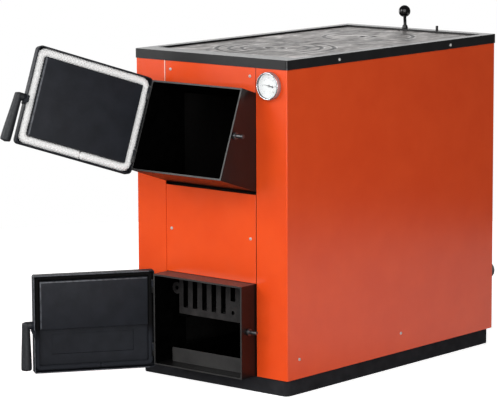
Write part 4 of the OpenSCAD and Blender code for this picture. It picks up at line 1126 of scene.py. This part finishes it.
class BOILER_OT_stage(bpy.types.Operator):
    """Sets the camera, the white room, the lights and the floor"""

    bl_idname = "boiler.stage"
    bl_label = "Stage"

    def execute(self, context):
        scene = context.scene
        stage = scene.boiler_stage
        set_camera(scene)
        scene.view_settings.view_transform = "Standard"
        white_room(scene, stage.room)
        for name, spot, aim, size, power in (
            ("key_light", (2.7, -3.7, 2.1), (0, -0.2, 0.4), (5.2, 4.0), stage.key),
            ("left_light", (-1.9, -3.4, 2.1), (0, -0.3, 0.4), (2.4, 1.6), stage.left),
            ("back_light", (-2.9, 3.6, 1.3), (0, 0, 0.7), (5.4, 2.5), stage.back),
            ("side_light", (-3.2, 0.2, 0.6), (0, -0.2, 0.5), (3.0, 1.5), stage.side),
            ("corner_light", (2.6, -2.4, 0.42), (0.22, -0.4, 0.5), (0.3, 0.72), stage.corner),
            ("rim_light", (-1.9, -2.65, 0.79), (0, -0.4, 0.79), (1.7, 0.6), stage.rim),
        ):
            hang_light(scene, name, spot, aim, size, power)
        lay_floor(scene)
        return {"FINISHED"}


class BOILER_OT_finishes(bpy.types.Operator):
    """Gives every node its finish"""

    bl_idname = "boiler.finishes"
    bl_label = "Finishes"

    def execute(self, context):
        for name, node in frame["nodes"].items():
            node.data.materials.clear()
            node.data.materials.append(FINISHES[SLOT_OF[name]]())
        return {"FINISHED"}


class BOILER_OT_panels(bpy.types.Operator):
    """Breaks the edges of the painted panels, the top frame and the base, with painted highlights on their
    front corners and painted shade in the open seams
    """

    bl_idname = "boiler.panels"
    bl_label = "Panels"

    def execute(self, context):
        sizes = context.scene.boiler_sizes
        softened("rear_panel", 0.4)
        for name, width, painted_highlight, split in (
            ("side_panel_left", sizes.side_bend, painted_fold_highlight(), HIGHLIGHT_FROM * MM),
            ("side_panel_right", sizes.side_bend, painted_fold_highlight(), None),
            ("top_frame", sizes.frame_bend, worn_edge_and_highlight(), None),
        ):
            low, high = box_of(name)
            front, reach = low.y + NEAR * MM, max(abs(low.x), abs(high.x)) - NEAR * MM
            rounded_corners(
                name, width,
                lambda edge: all(
                    v.co.y < front and (abs(v.co.x) > reach or split and v.co.z > split - 0.1 * MM)
                    for v in edge.verts
                ),
                painted_highlight, split,
            )
        # The front panels hang to the left on their screws, so their left seams close and the right ones
        # open. The folds inside the open seams are coloured black as painted shade.
        for name, sides in (("front_panel_top", (-1, 1)), ("front_panel_middle", (1,))):
            low, high = box_of(name)
            front, reach = low.y + NEAR * MM, high.x - NEAR * MM
            mesh = rounded_corners(
                name, sizes.front_bend,
                lambda edge: all(
                    v.co.y < front and any(v.co.x * side > reach for side in sides) for v in edge.verts
                ),
                painted_fold_highlight(),
            ).data
            mesh.materials.append(painted_shade_black())
            for face in mesh.polygons:
                if face.normal.x > 0.9 and face.center.x > high.x - 0.5 * MM:
                    face.material_index = len(mesh.materials) - 1
            for vert in mesh.vertices:
                on_right = vert.co.x > high.x - 2.5 * MM
                vert.co.x -= sizes.open_seam if on_right else sizes.closed_seam
        softened("base_plinth", 1.2, material=matt_base_paint())
        return {"FINISHED"}


class BOILER_OT_cooking_plate(bpy.types.Operator):
    """Chamfers the cooking plate, its rings and lids, and colours the lifting pockets black as painted shade
    """

    bl_idname = "boiler.cooking_plate"
    bl_label = "Cooking plate"

    def execute(self, context):
        for name in ("cooking_plate", "burner_ring_outer", "burner_ring_inner"):
            softened(name, 1.2, 2, 40).data.materials.append(painted_shade_black())
        for name in ("burner_lid_front", "burner_lid_rear"):
            lid = softened(name, 1.2, 2, 40)
            lid.data.materials.append(painted_shade_black())
            low, high = box_of(name)
            middle = (low + high) / 2
            # Faces down in the lifting pockets are coloured black as painted shade
            for face in lid.data.polygons:
                off = math.hypot(face.center.x - middle.x, face.center.y - middle.y)
                if off < POCKETS_REACH * MM and low.z + MM < face.center.z < high.z - MM:
                    face.material_index = 1
        return {"FINISHED"}


class BOILER_OT_screws(bpy.types.Operator):
    """Cuts cross recesses into the panel and rim screws"""

    bl_idname = "boiler.screws"
    bl_label = "Screws"

    def execute(self, context):
        screws("front_screws", (0, -1, 0))
        screws("side_screws")
        screws("rim_screws")
        return {"FINISHED"}


class BOILER_OT_inside(bpy.types.Operator):
    """Finishes the firebox, water jacket, shelf, floor and insulation"""

    bl_idname = "boiler.inside"
    bl_label = "Inside"

    def execute(self, context):
        for name, width in (
            ("firebox_shell", 0.8), ("water_jacket", 0.8), ("water_shelf", 1.5), ("ash_floor", 0.4),
            ("insulation_left", 1.5), ("insulation_right", 1.5), ("insulation_rear", 1.5),
        ):
            softened(name, width)
        return {"FINISHED"}


class BOILER_OT_mouths(bpy.types.Operator):
    """Breaks the edges of the chute and ash frame, colours their insides black as painted shade, and turns
    their pins
    """

    bl_idname = "boiler.mouths"
    bl_label = "Mouths and pins"

    def execute(self, context):
        # Half the outer width and height in mm, the rim's finish, and the height of the sill left without
        # painted shade
        for name, place, half_w, half_h, rim, sill in (
            ("loading_chute", MOUTH, 135.5, 107.0, worn_edge_and_highlight(), 0),
            ("ash_frame", ASH_MOUTH, 134.5, 107.0, oiled_sheet(), 4),
        ):
            mesh = softened(name, 0.5, material=mouth_paint()).data
            mesh.materials.append(painted_shade_black())
            mesh.materials.append(rim)
            into = place.inverted()
            inner_w, inner_h = half_w - MOUTH_WALL, half_h - MOUTH_WALL
            for face in mesh.polygons:
                spots = [into @ mesh.vertices[i].co / MM for i in face.vertices]
                inside = all(abs(p.x) < inner_w and abs(p.z) < inner_h for p in spots)
                # Faces inside the mouth are coloured black as painted shade
                if inside and any(p.z > sill - half_h for p in spots):
                    face.material_index = 1
                elif all(abs(p.y) < NEAR for p in spots):
                    face.material_index = 2
        softened("latch_pins", 0.7, 3, 50)
        softened("hinge_pins", 0.5, 2, 50)
        return {"FINISHED"}


class BOILER_OT_doors(bpy.types.Operator):
    """Rounds the doors' pressed shells, inner sheets and board, and gives their folds a painted highlight"""

    bl_idname = "boiler.doors"
    bl_label = "Doors"

    def execute(self, context):
        softened("loading_door", 0.8, 3)
        softened("loading_door_board", 1.2, 3)
        for node, door, front in (
            ("loading_door_panel", LOADING, PANEL_FRONT), ("ash_door_shield", ASH, SHIELD_FRONT),
        ):
            into = door.inverted()
            bm = merged_copy(node)
            folds = [
                edge for edge in bm.edges if all(abs((into @ v.co / MM).y - front) < NEAR for v in edge.verts)
            ]
            bmesh.ops.bevel(
                bm, geom=folds, offset=context.scene.boiler_sizes.pressed_fold, segments=2, profile=0.5,
                affect="EDGES", material=1,
            )
            mesh = settle(bm, node + "_pressed", node, smooth=30.0).data
            mesh.materials.append(highlight_grey_paint())
            # The lighter grey on the folds is a painted highlight, kept on faces that look to the free edge
            # and on the shield's upward faces
            for face in mesh.polygons:
                facing = into.to_3x3() @ face.normal
                upward = facing.z > 0.2 and node == "ash_door_shield"
                if face.material_index == 1 and facing.x < 0.2 and not upward:
                    face.material_index = 0
        mesh = softened("ash_door", 0.8, 3).data
        mesh.materials.append(highlight_grey_paint())
        mesh.materials.append(painted_shade_black())
        into = ASH.inverted()
        low, high = AIR_OPENING
        for face in mesh.polygons:
            spots = [into @ mesh.vertices[i].co / MM for i in face.vertices]
            on_wall = abs((into.to_3x3() @ face.normal).y) < 0.5
            # The rim's front is coloured lighter grey as a painted highlight, and the air opening's walls
            # black as painted shade
            if all(abs(p.y - ASH_DOOR_RIM) < NEAR for p in spots):
                face.material_index = 1
            elif on_wall and all(a < c < b for p in spots for a, c, b in zip(low, p, high)):
                face.material_index = 2
        return {"FINISHED"}


class BOILER_OT_ropes(bpy.types.Operator):
    """Lays the braided seals into both doors"""

    bl_idname = "boiler.ropes"
    bl_label = "Ropes"

    def execute(self, context):
        rope_ring(
            "white_rope", "loading_door_rope", LOADING @ Matrix.Translation((DOOR_MIDDLE * MM, 0, -1.5 * MM)),
            half_w=130.5, half_h=102, bend=14, wide=10.5, deep=9.2, dent=0.16, back=-9.95,
        )
        rope_ring(
            "black_rope", "ash_door_rope", ASH @ Matrix.Translation((DOOR_MIDDLE * MM, 0, 0)),
            half_w=134.2, half_h=106.2, bend=8.0, wide=6.1, deep=6.0, dent=0.12, back=-6.4,
        )
        return {"FINISHED"}


class BOILER_OT_handles(bpy.types.Operator):
    """Rounds the hooks, grips and pivots of both doors"""

    bl_idname = "boiler.handles"
    bl_label = "Handles"

    def execute(self, context):
        for name, width in (
            ("loading_hook", 0.8), ("ash_hook", 0.8), ("loading_grip", 0.8), ("ash_grip", 0.8),
            ("loading_pivot", 0.5), ("ash_pivot", 0.5),
        ):
            softened(name, width, 2, 50)
        return {"FINISHED"}


class BOILER_OT_air_flap(bpy.types.Operator):
    """Finishes the air flap and its pin"""

    bl_idname = "boiler.air_flap"
    bl_label = "Air flap"

    def execute(self, context):
        softened("air_flap", 0.6, 2, 50)
        softened("air_flap_pin", 0.4, 2, 50)
        return {"FINISHED"}


class BOILER_OT_grates(bpy.types.Operator):
    """Rounds the cast grates, their rests and the ash pan, and colours their sides and insides black as
    painted shade
    """

    bl_idname = "boiler.grates"
    bl_label = "Grates and ash pan"

    def execute(self, context):
        softened("fire_grate", 1.4)
        softened("grate_supports", 0.6)
        for name, width, skin in (
            ("fence_grate", 0.9, None), ("fence_brackets", 0.5, None), ("ash_pan", 0.4, oiled_sheet()),
        ):
            mesh = softened(name, width, material=skin).data
            mesh.materials.append(painted_shade_black())
            low, high = box_of(name)
            for face in mesh.polygons:
                spot = face.center
                sideways = name != "ash_pan" and abs(face.normal.x) > 0.7
                leg = name == "fence_brackets" and spot.z < high.z - 8 * MM
                within = all(a + 0.6 * MM < c < b - 0.6 * MM for a, c, b in zip(low[:2], spot, high))
                inside = within and spot.z > low.z + MM
                # The grate's sides, the brackets' legs and the faces inside are coloured black as painted
                # shade
                if leg or spot.y > low.y + MM and (sideways or inside):
                    face.material_index = 1
        return {"FINISHED"}


class BOILER_OT_smoke_outlet(bpy.types.Operator):
    """Finishes the smoke box, flue socket, damper and its knob"""

    bl_idname = "boiler.smoke_outlet"
    bl_label = "Smoke outlet and damper"

    def execute(self, context):
        for name, width in (
            ("smoke_box", 0.6), ("flue_socket", 0.6), ("damper_flap", 0.4), ("damper_spindle", 0.4),
            ("damper_collar", 0.5), ("rear_stud", 0.6),
        ):
            softened(name, width, 2, 50)
        low, high = box_of("damper_knob")
        middle, radius = (low + high) / 2, (high.z - low.z) / 2 / MM
        angles = [math.radians(angle) for angle in range(-68, 91, 6)]
        ball = [(radius * math.cos(angle), radius * math.sin(angle)) for angle in angles]
        foot_r, foot_z = ball[0]
        bore = [(0, foot_z + 1.5), (3.4, foot_z + 1.5), (3.8, foot_z), (foot_r - 0.5, foot_z)]
        profile = bore + ball + [(0, radius)]
        lean = Vector(LEVER_WAY).normalized()
        knob = turned(profile, along(middle, middle + lean), 64)
        settle(knob, "ball_knob", "damper_knob", smooth=50.0)
        return {"FINISHED"}


class BOILER_OT_nozzles(bpy.types.Operator):
    """Turns the water nozzles with their threads and weld collars"""

    bl_idname = "boiler.nozzles"
    bl_label = "Water nozzles"

    def execute(self, context):
        pitch, root, crest, length = 2.31, 19.75, 20.95, 26.0
        bore, pipe, collar = 17.5, 21, 22
        for name in ("supply_nozzle", "return_nozzle"):
            low, high = box_of(name)
            middle = (low + high) / 2
            reach = (high.y - low.y) / MM
            profile = [(bore, 0), (collar, 0), (collar, 27.5), (pipe, 29), (pipe, reach - length - 3)]
            for i in range(int(length / pitch)):
                z = reach - length - 1.5 + i * pitch
                profile += [(crest, z), (root, z + pitch / 2)]
            profile += [(20.2, reach - 0.8), (19.4, reach), (18, reach), (bore, reach - 0.6)]
            base = Vector((middle.x, low.y, middle.z))
            nozzle = turned(profile, along(base, base + Vector((0, 1, 0))), 64, True)
            settle(nozzle, name + "_turned", name)
        return {"FINISHED"}


class BOILER_OT_thermometer(bpy.types.Operator):
    """Builds the thermometer's bezel, printed dial, needle and domed glass"""

    bl_idname = "boiler.thermometer"
    bl_label = "Thermometer"

    def execute(self, context):
        rolled_bezel()
        dial_marks()
        needle_blade()
        domed_glass()
        return {"FINISHED"}


class BOILER_PT_panel(bpy.types.Panel):
    """Lists the boiler's operators"""

    bl_idname = "BOILER_PT_panel"
    bl_label = "Boiler"
    bl_space_type = "VIEW_3D"
    bl_region_type = "UI"
    bl_category = "Boiler"

    def draw(self, context):
        for cls in OPERATORS:
            self.layout.operator(cls.bl_idname)


SETTINGS = {"boiler_stage": BoilerStage, "boiler_colours": BoilerColours, "boiler_sizes": BoilerSizes}
OPERATORS = (
    BOILER_OT_stage, BOILER_OT_finishes, BOILER_OT_panels, BOILER_OT_cooking_plate, BOILER_OT_screws,
    BOILER_OT_inside, BOILER_OT_mouths, BOILER_OT_doors, BOILER_OT_ropes, BOILER_OT_handles,
    BOILER_OT_air_flap, BOILER_OT_grates, BOILER_OT_smoke_outlet, BOILER_OT_nozzles,
    BOILER_OT_thermometer,
)
CLASSES = (*SETTINGS.values(), *OPERATORS, BOILER_PT_panel)


def register():
    for cls in CLASSES:
        bpy.utils.register_class(cls)
    for name, group in SETTINGS.items():
        setattr(bpy.types.Scene, name, PointerProperty(type=group))


def unregister():
    for name in SETTINGS:
        delattr(bpy.types.Scene, name)
    for cls in reversed(CLASSES):
        bpy.utils.unregister_class(cls)


def main():
    register()
    for cls in OPERATORS:
        group, name = cls.bl_idname.split(".")
        getattr(getattr(bpy.ops, group), name)()
    bpy.context.view_layer.update()


if __name__ == "__main__":
    main()
